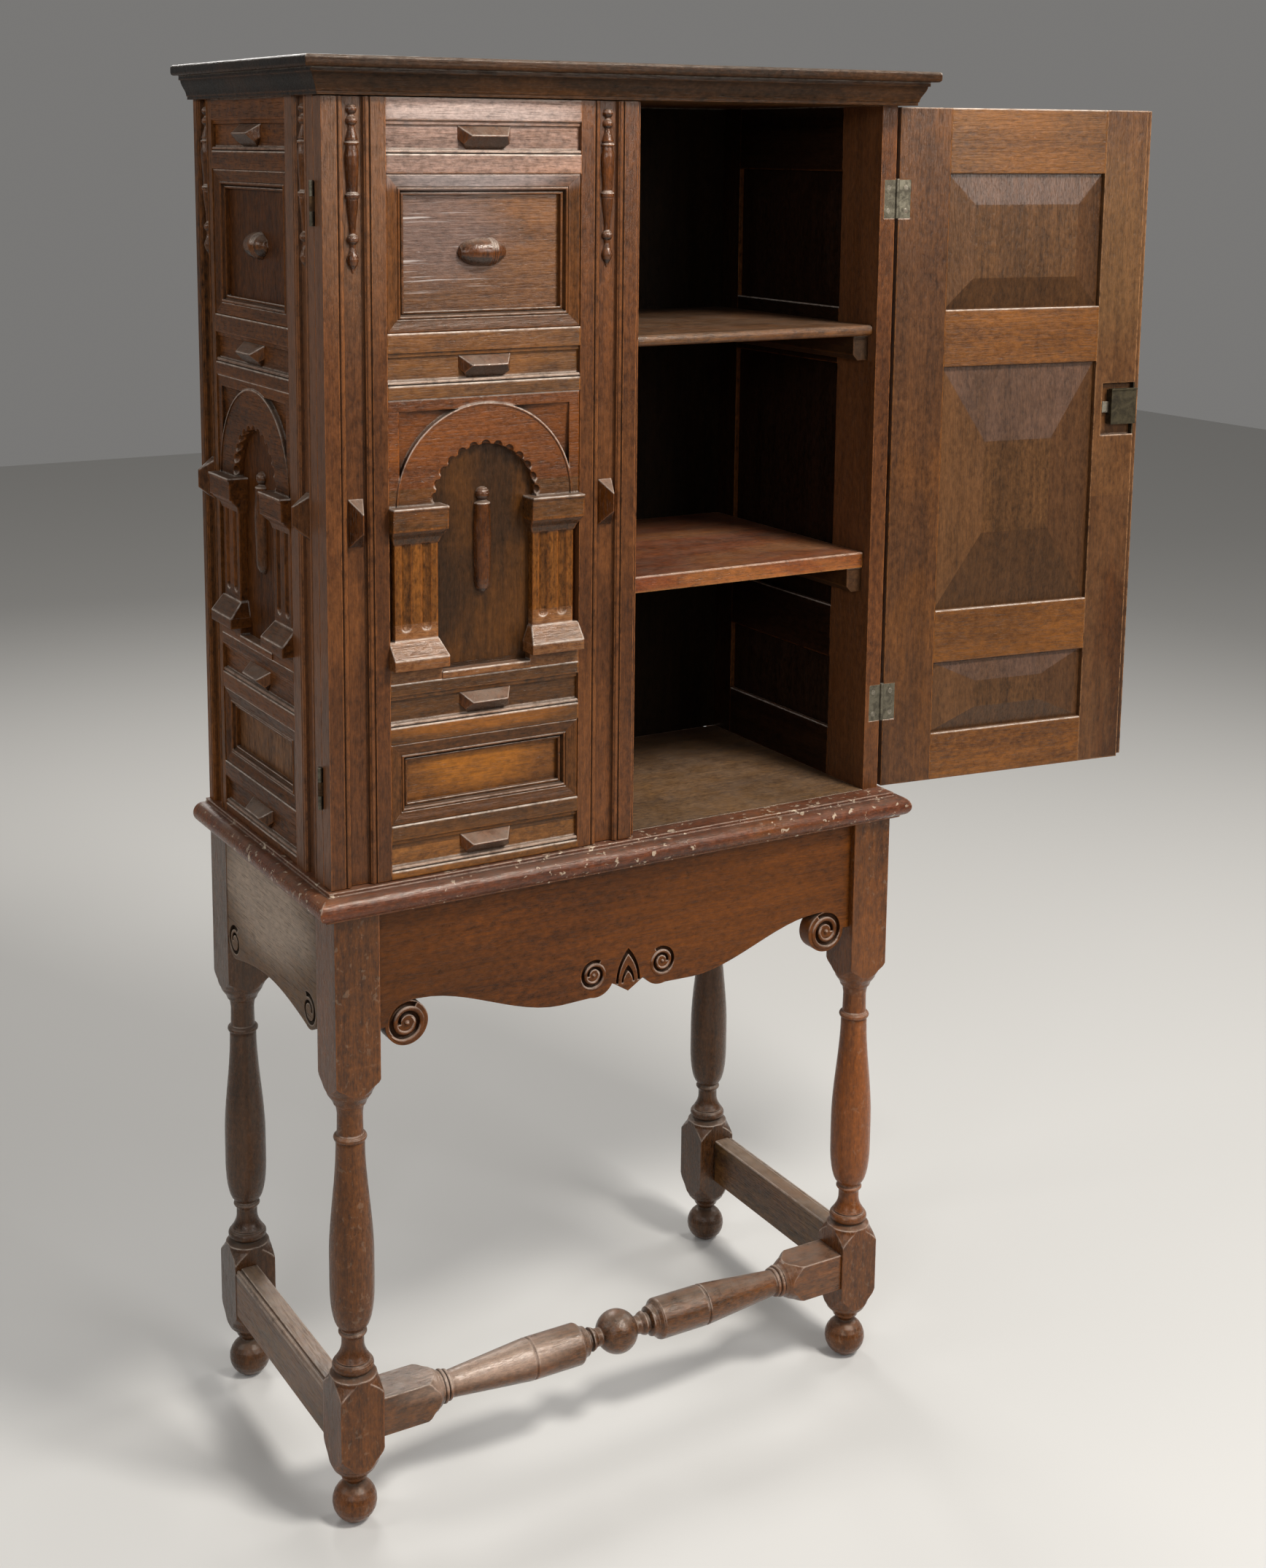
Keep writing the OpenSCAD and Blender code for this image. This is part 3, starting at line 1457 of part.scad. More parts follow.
module lock_bolt_body() {
  translate([lock_x0 - bolt_tail, bolt_y0, bolt_z0])
    cube([lock_w + bolt_tail - bolt_gap, bolt_t, bolt_h]);
}

// The strike is let into the edge of the left door's lip
module lock_strike() {
  color(brass)
    left_frame()
      translate([door_w(-1) + lip_w - strike_t, strike_y0, bolt_z0 - strike_end])
        difference() {
          cube([strike_t, strike_w, bolt_h + 2 * strike_end]);
          translate([-1, 1, strike_end - 1])
            cube([strike_t + 2, bolt_t + 2, bolt_h + 2]);
        }
}

color(oak) leg(-1, -1);  // leg_front_left
color(oak) leg(1, -1);  // leg_front_right
color(oak) leg(-1, 1);  // leg_back_left
color(oak) leg(1, 1);  // leg_back_right
front_apron();
side_apron();  // left_apron
mirror([1, 0, 0]) side_apron();  // right_apron
back_apron();
front_stretcher();
color(oak) side_stretcher();  // left_stretcher
color(oak) mirror([1, 0, 0]) side_stretcher();  // right_stretcher
stand_moulding();
case_floor();
case_top();
cornice_moulding();
cap_board();
case_back();
upper_shelf();
lower_shelf();
shelf_bearers();
color(oak) side_place(-1) side_front_stile();  // left_side_front_stile
color(oak) side_place(-1) side_back_stile();  // left_side_back_stile
color(oak_light) side_place(-1) side_rails();  // left_side_rails
color(oak_dark) side_place(-1) side_panels();  // left_side_panels
color(oak_dark) side_place(-1) side_mouldings();  // left_side_mouldings
color(oak_light) side_place(-1) side_arcade();  // left_side_arcade
color(oak) side_place(-1) side_ornaments();  // left_side_ornaments
color(oak) side_place(1) side_front_stile();  // right_side_front_stile
color(oak) side_place(1) side_back_stile();  // right_side_back_stile
color(oak_light) side_place(1) side_rails();  // right_side_rails
color(oak_dark) side_place(1) side_panels();  // right_side_panels
color(oak_dark) side_place(1) side_mouldings();  // right_side_mouldings
color(oak_light) side_place(1) side_arcade();  // right_side_arcade
color(oak) side_place(1) side_ornaments();  // right_side_ornaments
color(oak) door_place(-1) door_hinge_stile();  // left_door_hinge_stile
color(oak) door_place(-1) door_meeting_stile(-1);  // left_door_meeting_stile
color(oak_light) door_place(-1) door_rails(-1);  // left_door_rails
color(oak_dark) door_place(-1) door_panels(-1);  // left_door_panels
color(oak_dark) door_place(-1) door_mouldings(-1);  // left_door_mouldings
color(oak_light) door_place(-1) door_arcade(-1);  // left_door_arcade
color(oak) door_place(-1) door_ornaments(-1);  // left_door_ornaments
color(oak) door_place(1) door_hinge_stile();  // right_door_hinge_stile
color(oak) door_place(1) door_meeting_stile(1);  // right_door_meeting_stile
color(oak_light) door_place(1) door_rails(1);  // right_door_rails
color(oak_dark) door_place(1) door_panels(1);  // right_door_panels
color(oak_dark) door_place(1) door_mouldings(1);  // right_door_mouldings
color(oak_light) door_place(1) door_arcade(1);  // right_door_arcade
color(oak) door_place(1) door_ornaments(1);  // right_door_ornaments
case_hinge_leaves();
color(brass) door_place(-1) leaf_pair(1, 1);  // left_door_hinge_leaves
color(brass) door_place(1) leaf_pair(1, 1);  // right_door_hinge_leaves
hinge_pins();
case_hinge_screws();
color(steel) door_place(-1) screw_row(door_t, -1, 0);  // left_door_screws
color(steel) door_place(1) screw_row(door_t, -1, 0);  // right_door_screws
color(brass) door_place(1) lock_case_body();  // lock_case
color(steel) door_place(1) lock_bolt_body();  // lock_bolt
lock_strike();
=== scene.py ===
"""Looks of the pier cupboard: camera, materials, carved scrolls, floor and light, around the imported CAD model.

Lengths are in metres and angles in radians, unless a name or a comment says otherwise. Colours are written as the
eye reads them, with srgb()."""
import math

import bpy
from mathutils import Matrix, Vector


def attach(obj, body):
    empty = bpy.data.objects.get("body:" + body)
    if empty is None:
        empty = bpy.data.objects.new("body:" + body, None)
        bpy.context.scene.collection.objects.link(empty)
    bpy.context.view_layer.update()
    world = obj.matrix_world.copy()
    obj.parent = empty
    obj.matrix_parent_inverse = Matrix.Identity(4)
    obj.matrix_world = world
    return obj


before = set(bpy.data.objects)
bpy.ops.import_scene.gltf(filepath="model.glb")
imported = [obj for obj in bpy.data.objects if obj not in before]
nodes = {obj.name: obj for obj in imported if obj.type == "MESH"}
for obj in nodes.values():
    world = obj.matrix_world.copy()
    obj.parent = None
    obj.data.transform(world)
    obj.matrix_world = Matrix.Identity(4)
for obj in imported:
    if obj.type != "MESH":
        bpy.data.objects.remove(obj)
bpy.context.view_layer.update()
scene = bpy.context.scene

# ---------------------------------------------------------------- camera, solved from the photo
YAW = 0.5211665
PITCH = -0.1694090
ROLL = 0.0071774
FOCAL_PX = 2880.4
IMAGE_W, IMAGE_H = 1736.0, 2150.0
CENTRE_PX = (808.09, 692.51)  # the pixel that the camera looks straight at
EYE = Vector((-1.2120, -2.1976, 1.5606))
SENSOR_MM = 36.0
VIEW_DEPTH = 50.0

forward = Vector((math.sin(YAW) * math.cos(PITCH), math.cos(YAW) * math.cos(PITCH), math.sin(PITCH)))
level = Vector((math.cos(YAW), -math.sin(YAW), 0.0))
over = level.cross(forward)
right = level * math.cos(ROLL) + over * math.sin(ROLL)
up = over * math.cos(ROLL) - level * math.sin(ROLL)
cam_data = bpy.data.cameras.new("camera")
cam_data.sensor_fit = "VERTICAL"
cam_data.sensor_height = SENSOR_MM
cam_data.lens = FOCAL_PX / IMAGE_H * SENSOR_MM
cam_data.shift_x = (IMAGE_W / 2 - CENTRE_PX[0]) / IMAGE_H
cam_data.shift_y = -(IMAGE_H / 2 - CENTRE_PX[1]) / IMAGE_H
cam_data.clip_end = VIEW_DEPTH
cam = bpy.data.objects.new("camera", cam_data)
basis = Matrix((right, up, -forward)).transposed().to_4x4()
basis.translation = EYE
cam.matrix_world = basis
scene.collection.objects.link(cam)
scene.camera = cam
scene.view_settings.view_transform = "Standard"


def srgb(r, g, b):
    """A colour as the eye reads it, 0 to 255, turned into linear values."""
    return tuple((c / 255 / 12.92) if c <= 10 else ((c / 255 + 0.055) / 1.055) ** 2.4 for c in (r, g, b))


def dimmed(colour, share):
    """A colour brought down to a share of its light."""
    return tuple(c * share for c in colour)


EDGE_SAMPLES = 4  # of each bevel and occlusion node

# ---------------------------------------------------------------- settings that all wood shares
AXES = {"x": (0, 1, 2), "y": (1, 0, 2), "z": (2, 0, 1)}  # the axis along the grain, then the two across it
# Noise patterns: scale along the grain and across it, per metre, then detail, roughness and distortion
PATTERNS = {
    "bands": ((1.6, 48, 48), 4.0, 0.6),
    "streak": ((9, 330, 330), 4.0, 0.68),
    "fine": ((48, 1250, 1250), 2.0, 0.5),
    "cloud": ((4.5, 12, 12), 5.0, 0.62),
    "mottle": ((110, 190, 190), 5.0, 0.75),
    "blotch": ((3, 8, 8), 6.0, 0.66, 0.5),
    "glints": ((6, 230, 230), 3.0, 0.5),
}
SOLID_SHIFTS = (5.3, 3.1, 7.9)  # times the random number of a solid: where in the pattern it lies
WAVE_SCALE, WAVE = (2.2, 7, 7), 0.010  # the grain's slow wave
PORE_DEPTH, ARRIS_LOSS = 0.00018, 0.0002
STREAK_RISE, MOTTLE_RISE, BLOTCH_RISE = 0.00040, 0.00050, 0.0016
DIRT_REACH = 0.012  # how far from a corner the dirt and painted shade reach
CREST_HIGHLIGHT = srgb(232, 218, 204)  # painted highlight along the upper arrises
# dust on faces that look up, together with a painted sheen
DUST_AND_SHEEN = srgb(150, 134, 120)
CHIP = srgb(222, 204, 178)
# painted glints on the open grain
GLINT = srgb(206, 196, 190)
SHADED_DARK, SHADED_LIGHT = srgb(10, 7, 5), srgb(34, 22, 15)  # faces that look into the case
VARNISH_TINT = (1.0, 0.85, 0.72, 1.0)
COAT_ROUGHNESS, COAT_IOR = 0.13, 1.45

# ---------------------------------------------------------------- settings that all metal shares
RUST = srgb(104, 60, 38)
METAL_ARRIS, METAL_DIRT_REACH = 0.0005, 0.004
PATCH_RISE, SCRATCH_RISE, SPECK_DEPTH = 0.00012, 0.00003, 0.00008


# ---------------------------------------------------------------- node helpers
class Graph:
    """A new material's node tree with short calls. An input takes a socket or a plain value."""

    def __init__(self, name):
        self.material = bpy.data.materials.new(name)
        self.material.use_nodes = True
        self.tree = self.material.node_tree
        self.shader = self.tree.nodes["Principled BSDF"]

    def feed(self, socket, v):
        if isinstance(v, bpy.types.NodeSocket):
            self.tree.links.new(v, socket)
        else:
            socket.default_value = v

    def finish(self, **inputs):
        """Sets the shader's inputs, in whose names an underscore stands for a space."""
        for k, v in inputs.items():
            self.feed(self.shader.inputs[k.replace("_", " ")], v)

    def node(self, kind, props=None, **inputs):
        n = self.tree.nodes.new(kind)
        for k, v in (props or {}).items():
            setattr(n, k, v)
        for k, v in inputs.items():
            self.feed(n.inputs[k.replace("_", " ")], v)
        return n

    def math(self, op, a, b=0.0, c=0.0, clamp=False):
        n = self.node("ShaderNodeMath", {"operation": op, "use_clamp": clamp})
        for i, v in enumerate((a, b, c)):
            self.feed(n.inputs[i], v)
        return n.outputs[0]

    def times(self, a, b):
        return self.math("MULTIPLY", a, b)

    def times_plus(self, a, b, c, clamp=False):
        return self.math("MULTIPLY_ADD", a, b, c, clamp)

    def within(self, v, low, high):
        """1 where v lies between low and high, otherwise 0."""
        return self.math("COMPARE", v, (low + high) / 2, (high - low) / 2)

    def ramp(self, v, low, high, out_low=0.0, out_high=1.0):
        """A smooth step from out_low at low to out_high at high, which may be the smaller of the two."""
        return self.node("ShaderNodeMapRange", {"interpolation_type": "SMOOTHSTEP"}, Value=v, From_Min=low,
                         From_Max=high, To_Min=out_low, To_Max=out_high).outputs["Result"]

    def mix(self, fac, a, b, blend="MIX"):
        """A colour mix: inputs 6 and 7 and output 2 are the node's colours."""
        n = self.node("ShaderNodeMix", {"data_type": "RGBA", "blend_type": blend})
        for i, v in ((0, fac), (6, a), (7, b)):
            self.feed(n.inputs[i], (*v, 1.0) if isinstance(v, tuple) and len(v) == 3 else v)
        return n.outputs[2]

    def choose(self, fac, a, b):
        """A vector mix: inputs 4 and 5 and output 1 are the node's vectors."""
        n = self.node("ShaderNodeMix", {"data_type": "VECTOR"})
        for i, v in ((0, fac), (4, a), (5, b)):
            self.feed(n.inputs[i], v)
        return n.outputs[1]

    def split(self, v):
        return self.node("ShaderNodeSeparateXYZ", Vector=v).outputs

    def join(self, x, y, z):
        return self.node("ShaderNodeCombineXYZ", X=x, Y=y, Z=z).outputs[0]

    def vector(self, op, *values):
        n = self.node("ShaderNodeVectorMath", {"operation": op})
        for i, v in enumerate(values):
            self.feed(n.inputs[i], v)
        return n.outputs["Value" if op in ("DOT_PRODUCT", "LENGTH") else "Vector"]

    def stretch(self, v, scale, turn=0.0):
        return self.node("ShaderNodeMapping", Vector=v, Rotation=(0.0, 0.0, turn), Scale=scale).outputs[0]

    def reach(self, v, centre, radii):
        """How far v is from centre: 1 on the ellipsoid of these radii."""
        off = self.node("ShaderNodeMapping", {"vector_type": "TEXTURE"}, Vector=v, Location=centre, Scale=radii)
        return self.vector("LENGTH", off.outputs[0])

    def noise(self, v, scale, detail=3.0, rough=0.55, distortion=0.0):
        return self.node("ShaderNodeTexNoise", Vector=v, Scale=scale, Detail=detail, Roughness=rough,
                         Distortion=distortion).outputs["Fac"]

    def pattern(self, v, name):
        scale, *settings = PATTERNS[name]
        return self.noise(self.stretch(v, scale), 1.0, *settings)

    def place(self):
        return self.node("ShaderNodeTexCoord").outputs["Object"]

    def soft_edges(self, radius, face, sharp):
        """Normals with rounded edges, and a mask that is 1 where they lean sharply away from the face's own."""
        soft = self.node("ShaderNodeBevel", {"samples": EDGE_SAMPLES}, Radius=radius).outputs[0]
        return soft, self.ramp(self.vector("DOT_PRODUCT", soft, face), 0.99, sharp)

    def bump(self, height, normal, strength):
        return self.node("ShaderNodeBump", Height=height, Normal=normal, Strength=strength,
                         Distance=1.0).outputs[0]


def wood_space(g, place, slope, grain, turn):
    """Places with the grain along X, another part of the pattern for each solid: plain, then with waved grain.

    The third value is the solid's own random number."""
    xyz = g.split(g.stretch(place, (1, 1, 1), turn))
    flat, tall = AXES[grain[0]], AXES["z"]
    laid = g.join(*(xyz[i] for i in flat))
    if len(grain) > 1:
        stood = g.join(*(xyz[i] for i in tall))
        if grain[1] == "normal":
            upright = g.math("GREATER_THAN", g.math("ABSOLUTE", slope[flat[0]]), g.math("ABSOLUTE", slope[2]))
        else:
            upright = g.within(xyz[2], grain[1], grain[2])
        laid = g.choose(upright, laid, stood)
    piece = g.node("ShaderNodeAttribute", {"attribute_name": "piece"}).outputs["Fac"]
    here = g.vector("ADD", laid, g.join(*(g.times(piece, shift) for shift in SOLID_SHIFTS)))
    wave = g.node("ShaderNodeTexNoise", Vector=g.stretch(here, WAVE_SCALE), Scale=1.0, Detail=1.0).outputs["Color"]
    return here, g.vector("MULTIPLY_ADD", wave, (0.0, WAVE, WAVE), here), piece


def oak(name, grain, dark, light, worn, wear=0.3, rough=0.34, band=0.6, streaky=0.35, edge=0.5, crest_highlight=0.6, dust_and_sheen=0.2,
        pore=0.35, chips=0.0, turn=0.0, coat=0.3, spec=0.35, arris_r=0.0028, spots=(), zones=(), tilt=(),
        glints=None, dirt_and_shade=0.9, inner_shade=0.0):
    """Stained oak: straight grain, pores, blotched stain, worn arrises, painted highlights on the upper edges, dust
    with a painted sheen on faces that look up, and dirt with painted shade in the corners.

    grain is an axis, or (axis, "normal") for mitred work whose upright strips are told by their slopes, or
    (axis, low, high) for work that stands upright between two heights, and turn turns it about Z. dark and light are
    the two tones of the wood and worn the tone where the stain is rubbed thin. Each spot is (centre, radii, colour,
    strength), and each zone (low, high, dark, light), other tones between two heights; some of them are a painted
    sheen. Each tilt is (axis, sign, start, colour, strength), another tone for bevels that lean that way, for the most
    part painted light and shade, and glints is (centre, radii, strength), painted glints: pale streaks on open grain.
    inner darkens the faces that look into the case with painted shade. The other values are strengths of what they
    name, rough, coat and spec are the gloss, and arris_r is the radius of the softened edges."""
    g = Graph(name)
    place = g.place()
    face = g.node("ShaderNodeNewGeometry").outputs["True Normal"]
    own = g.node("ShaderNodeVectorTransform",
                 {"vector_type": "NORMAL", "convert_from": "WORLD", "convert_to": "OBJECT"}, Vector=face)
    slope = g.split(own.outputs[0])
    here, waved, piece = wood_space(g, place, slope, grain, turn)
    bands, streak, fine = (g.pattern(waved, k) for k in ("bands", "streak", "fine"))
    cloud, mottle, blotch = (g.pattern(here, k) for k in ("cloud", "mottle", "blotch"))
    pores = g.ramp(fine, 0.56, 0.68)
    rubbed = g.ramp(blotch, 0.46, 0.64)

    # The tone runs from 0, dark, to 1, light. Each pattern swings it about its own middle.
    tone = g.times_plus(bands, 1.9 * band, 0.5 - 0.95 * band)
    tone = g.times_plus(streak, 2.1 * streaky, g.math("SUBTRACT", tone, 1.05 * streaky))
    tone = g.times_plus(mottle, 2.3, g.math("SUBTRACT", tone, 1.15), clamp=True)

    def two_tone(tint, share=0.55):
        return g.mix(tone, dimmed(tint, share), tint)

    low, high = dark, light
    height = g.split(place)[2]
    for bottom, top, deep, pale in zones:
        inside = g.within(height, bottom, top)
        low = g.mix(inside, low, deep)
        high = g.mix(inside, high, pale)
    colour = g.mix(tone, low, high)
    shade = g.times_plus(cloud, 1.5, g.times_plus(piece, 0.2, 0.15))
    shade = g.node("ShaderNodeCombineColor", Red=shade, Green=shade, Blue=shade).outputs[0]
    colour = g.mix(1.0, colour, shade, "MULTIPLY")
    colour = g.mix(g.times(rubbed, wear), colour, two_tone(worn))
    for centre, radii, tint, strength in spots:
        ragged = g.times_plus(cloud, 0.9, g.math("SUBTRACT", g.reach(place, centre, radii), 0.45))
        colour = g.mix(g.times(g.ramp(ragged, 1.15, 0.35), strength), colour, two_tone(tint, 0.5))
    for axis, sign, start, tint, strength in tilt:
        lean = g.ramp(g.times(slope[axis], sign), start, start + 0.035)
        lean = g.times(lean, g.times(g.ramp(cloud, 0.30, 0.60, 0.5, 1.0), strength))
        colour = g.mix(lean, colour, two_tone(tint))
    # painted glints: pale streaks on the open grain
    if glints:
        centre, radii, strength = glints
        lines = g.ramp(g.pattern(waved, "glints"), 0.59, 0.68)
        lines = g.times(lines, g.times(g.ramp(g.reach(place, centre, radii), 1.1, 0.6), strength))
        colour = g.mix(lines, colour, GLINT)
    # painted shade on the faces that look into the case
    if inner_shade:
        inward_shade = g.math("LESS_THAN", g.times(slope[0], g.split(place)[0]), -0.15)
        colour = g.mix(g.times(inward_shade, inner_shade), colour, g.mix(tone, SHADED_DARK, SHADED_LIGHT))
    colour = g.mix(g.times(pores, pore), colour, dimmed(dark, 0.30))

    # Wear, dirt and painted light: dirt and painted shade in the corners, wear on the arrises in the open,
    # and a painted highlight on the arrises that face up.
    soft, arris = g.soft_edges(arris_r, face, 0.92)
    open_air = g.node("ShaderNodeAmbientOcclusion", {"samples": EDGE_SAMPLES, "only_local": True},
                      Distance=DIRT_REACH).outputs["AO"]
    corner_dirt_and_shade = g.ramp(open_air, 0.86, 0.44)
    ridge = g.times(arris, g.ramp(open_air, 0.60, 0.84))
    scuffs = g.ramp(g.noise(here, 90.0, 4.0, 0.7), 0.34, 0.56)
    brow_highlight = g.times(ridge, g.ramp(g.split(soft)[2], 0.06, 0.34))
    brow_highlight = g.times(brow_highlight, g.times_plus(scuffs, 0.6, 0.4))
    ridge = g.times(ridge, scuffs)
    # the corners darkened with dirt and with painted shade
    colour = g.mix(g.times(corner_dirt_and_shade, dirt_and_shade), colour, dimmed(dark, 0.10))
    colour = g.mix(g.times(ridge, edge), colour, tuple(min(1.0, c * 1.3 + 0.01) for c in worn))
    # a painted highlight on the arrises that face up
    colour = g.mix(g.times(brow_highlight, crest_highlight), colour, CREST_HIGHLIGHT)
    # faces that look up turn paler: dust, and a painted sheen
    settled_dust_and_sheen = g.times(g.ramp(slope[2], 0.35, 0.95), g.ramp(g.noise(here, 38.0, 4.0, 0.6), 0.25, 0.75, 0.35, 1.0))
    colour = g.mix(g.times(settled_dust_and_sheen, dust_and_sheen), colour, DUST_AND_SHEEN)
    if chips:
        nick = g.ramp(g.noise(here, 120.0, 3.0, 0.6, 0.4), 0.62, 0.64)
        where = g.ramp(g.noise(here, 14.0, 2.0, 0.5), 0.40, 0.52)
        nick = g.times(nick, g.times(where, g.math("MAXIMUM", g.ramp(arris, 0.0, 0.4), 0.5)))
        colour = g.mix(g.times(nick, chips), colour, CHIP)

    shine = g.times_plus(mottle, 0.30, rough - 0.15)
    shine = g.times_plus(pores, 0.25, shine)
    shine = g.times_plus(corner_dirt_and_shade, 0.40, shine)
    shine = g.times_plus(settled_dust_and_sheen, 0.15, shine)
    shine = g.times_plus(ridge, -0.10, shine, clamp=True)
    relief = g.times_plus(pores, -PORE_DEPTH, g.times(streak, STREAK_RISE))
    relief = g.times_plus(blotch, BLOTCH_RISE, relief)
    relief = g.times_plus(mottle, MOTTLE_RISE, relief)
    relief = g.times_plus(ridge, -ARRIS_LOSS, relief)
    bump = g.bump(relief, soft, 0.9)
    g.finish(Base_Color=colour, Roughness=shine, Specular_IOR_Level=spec, Specular_Tint=VARNISH_TINT,
             Coat_Weight=g.times(g.math("SUBTRACT", 1.0, corner_dirt_and_shade), coat), Coat_Roughness=COAT_ROUGHNESS,
             Coat_IOR=COAT_IOR, Normal=bump, Coat_Normal=bump)
    return g.material


def metal(name, bright, dull, dirt, rough=0.38, rust=0.0):
    """Aged metal: dull patches, specks, dirt in the corners, rubbed arrises that also carry a painted highlight, and
    fine scratches.
    """
    g = Graph(name)
    place = g.place()
    patch = g.ramp(g.noise(place, 85.0, 6.0, 0.7, 0.8), 0.36, 0.64)
    speck = g.ramp(g.noise(place, 420.0, 4.0, 0.7), 0.56, 0.70)
    scratch = g.noise(g.stretch(place, (60.0, 60.0, 2600.0)), 1.0, 3.0, 0.6)
    colour = g.mix(patch, bright, dull)
    colour = g.mix(g.times(speck, 0.6), colour, dirt)
    if rust:
        bloom = g.ramp(g.noise(place, 60.0, 5.0, 0.7), 0.5, 0.66)
        colour = g.mix(g.times(bloom, rust), colour, RUST)
    soft, arris = g.soft_edges(METAL_ARRIS, g.node("ShaderNodeNewGeometry").outputs["Normal"], 0.88)
    open_air = g.node("ShaderNodeAmbientOcclusion", {"samples": EDGE_SAMPLES},
                      Distance=METAL_DIRT_REACH).outputs["AO"]
    colour = g.mix(g.times(g.ramp(open_air, 0.75, 0.35), 0.75), colour, dirt)
    # paler arrises: rubbed metal, and a painted highlight
    colour = g.mix(g.times(arris, 0.5), colour, tuple(min(1.0, c * 1.6) for c in bright))
    shine = g.times_plus(patch, 0.22, rough)
    shine = g.times_plus(scratch, 0.12, shine)
    shine = g.times_plus(arris, -0.12, shine, clamp=True)
    relief = g.times_plus(patch, PATCH_RISE, g.times(scratch, SCRATCH_RISE))
    relief = g.times_plus(speck, -SPECK_DEPTH, relief)
    g.finish(Base_Color=colour, Metallic=0.85, Roughness=shine, Normal=g.bump(relief, soft, 0.8))
    return g.material


# ---------------------------------------------------------------- a value for each solid of a node
WELD = 0.00002  # joins the faces of one solid, and is less than the gap between two


def solid_values():
    """A geometry tree that stores one random value for each solid, so that every board has its own tone and grain."""
    tree = bpy.data.node_groups.new("solid_values", "GeometryNodeTree")
    tree.interface.new_socket("Geometry", in_out="INPUT", socket_type="NodeSocketGeometry")
    tree.interface.new_socket("Geometry", in_out="OUTPUT", socket_type="NodeSocketGeometry")
    add = tree.nodes.new
    link = tree.links.new
    start = add("NodeGroupInput")
    end = add("NodeGroupOutput")
    weld = add("GeometryNodeMergeByDistance")
    weld.inputs["Distance"].default_value = WELD
    island = add("GeometryNodeInputMeshIsland")
    value = add("FunctionNodeRandomValue")
    value.data_type = "FLOAT"
    near = add("GeometryNodeSampleNearestSurface")
    near.data_type = "FLOAT"
    store = add("GeometryNodeStoreNamedAttribute")
    store.data_type = "FLOAT"
    store.domain = "FACE"
    store.inputs["Name"].default_value = "piece"
    link(start.outputs[0], weld.inputs["Geometry"])
    link(island.outputs["Island Index"], value.inputs["ID"])
    link(weld.outputs["Geometry"], near.inputs["Mesh"])
    link([o for o in value.outputs if o.enabled][0], near.inputs["Value"])
    link(start.outputs[0], store.inputs["Geometry"])
    link(near.outputs["Value"], store.inputs["Value"])
    link(store.outputs["Geometry"], end.inputs[0])
    return tree


VALUES = solid_values()


# ---------------------------------------------------------------- materials by node
# Tones of the wood: D dark, L light and W worn
BROWN_D, BROWN_L, BROWN_W = srgb(48, 24, 9), srgb(98, 55, 23), srgb(142, 80, 26)
RED_D, RED_L, RED_W = srgb(54, 24, 4), srgb(104, 53, 12), srgb(148, 80, 20)
DEEP_D, DEEP_W = srgb(32, 17, 6), srgb(108, 63, 23)
GOLD_W = srgb(160, 95, 29)
OPEN = math.radians(7.0)  # the open door's grain, as it is drawn 173 degrees open
DULL = {"spec": 0.15, "coat": 0.08}  # faces that mirror nothing bright in the photo

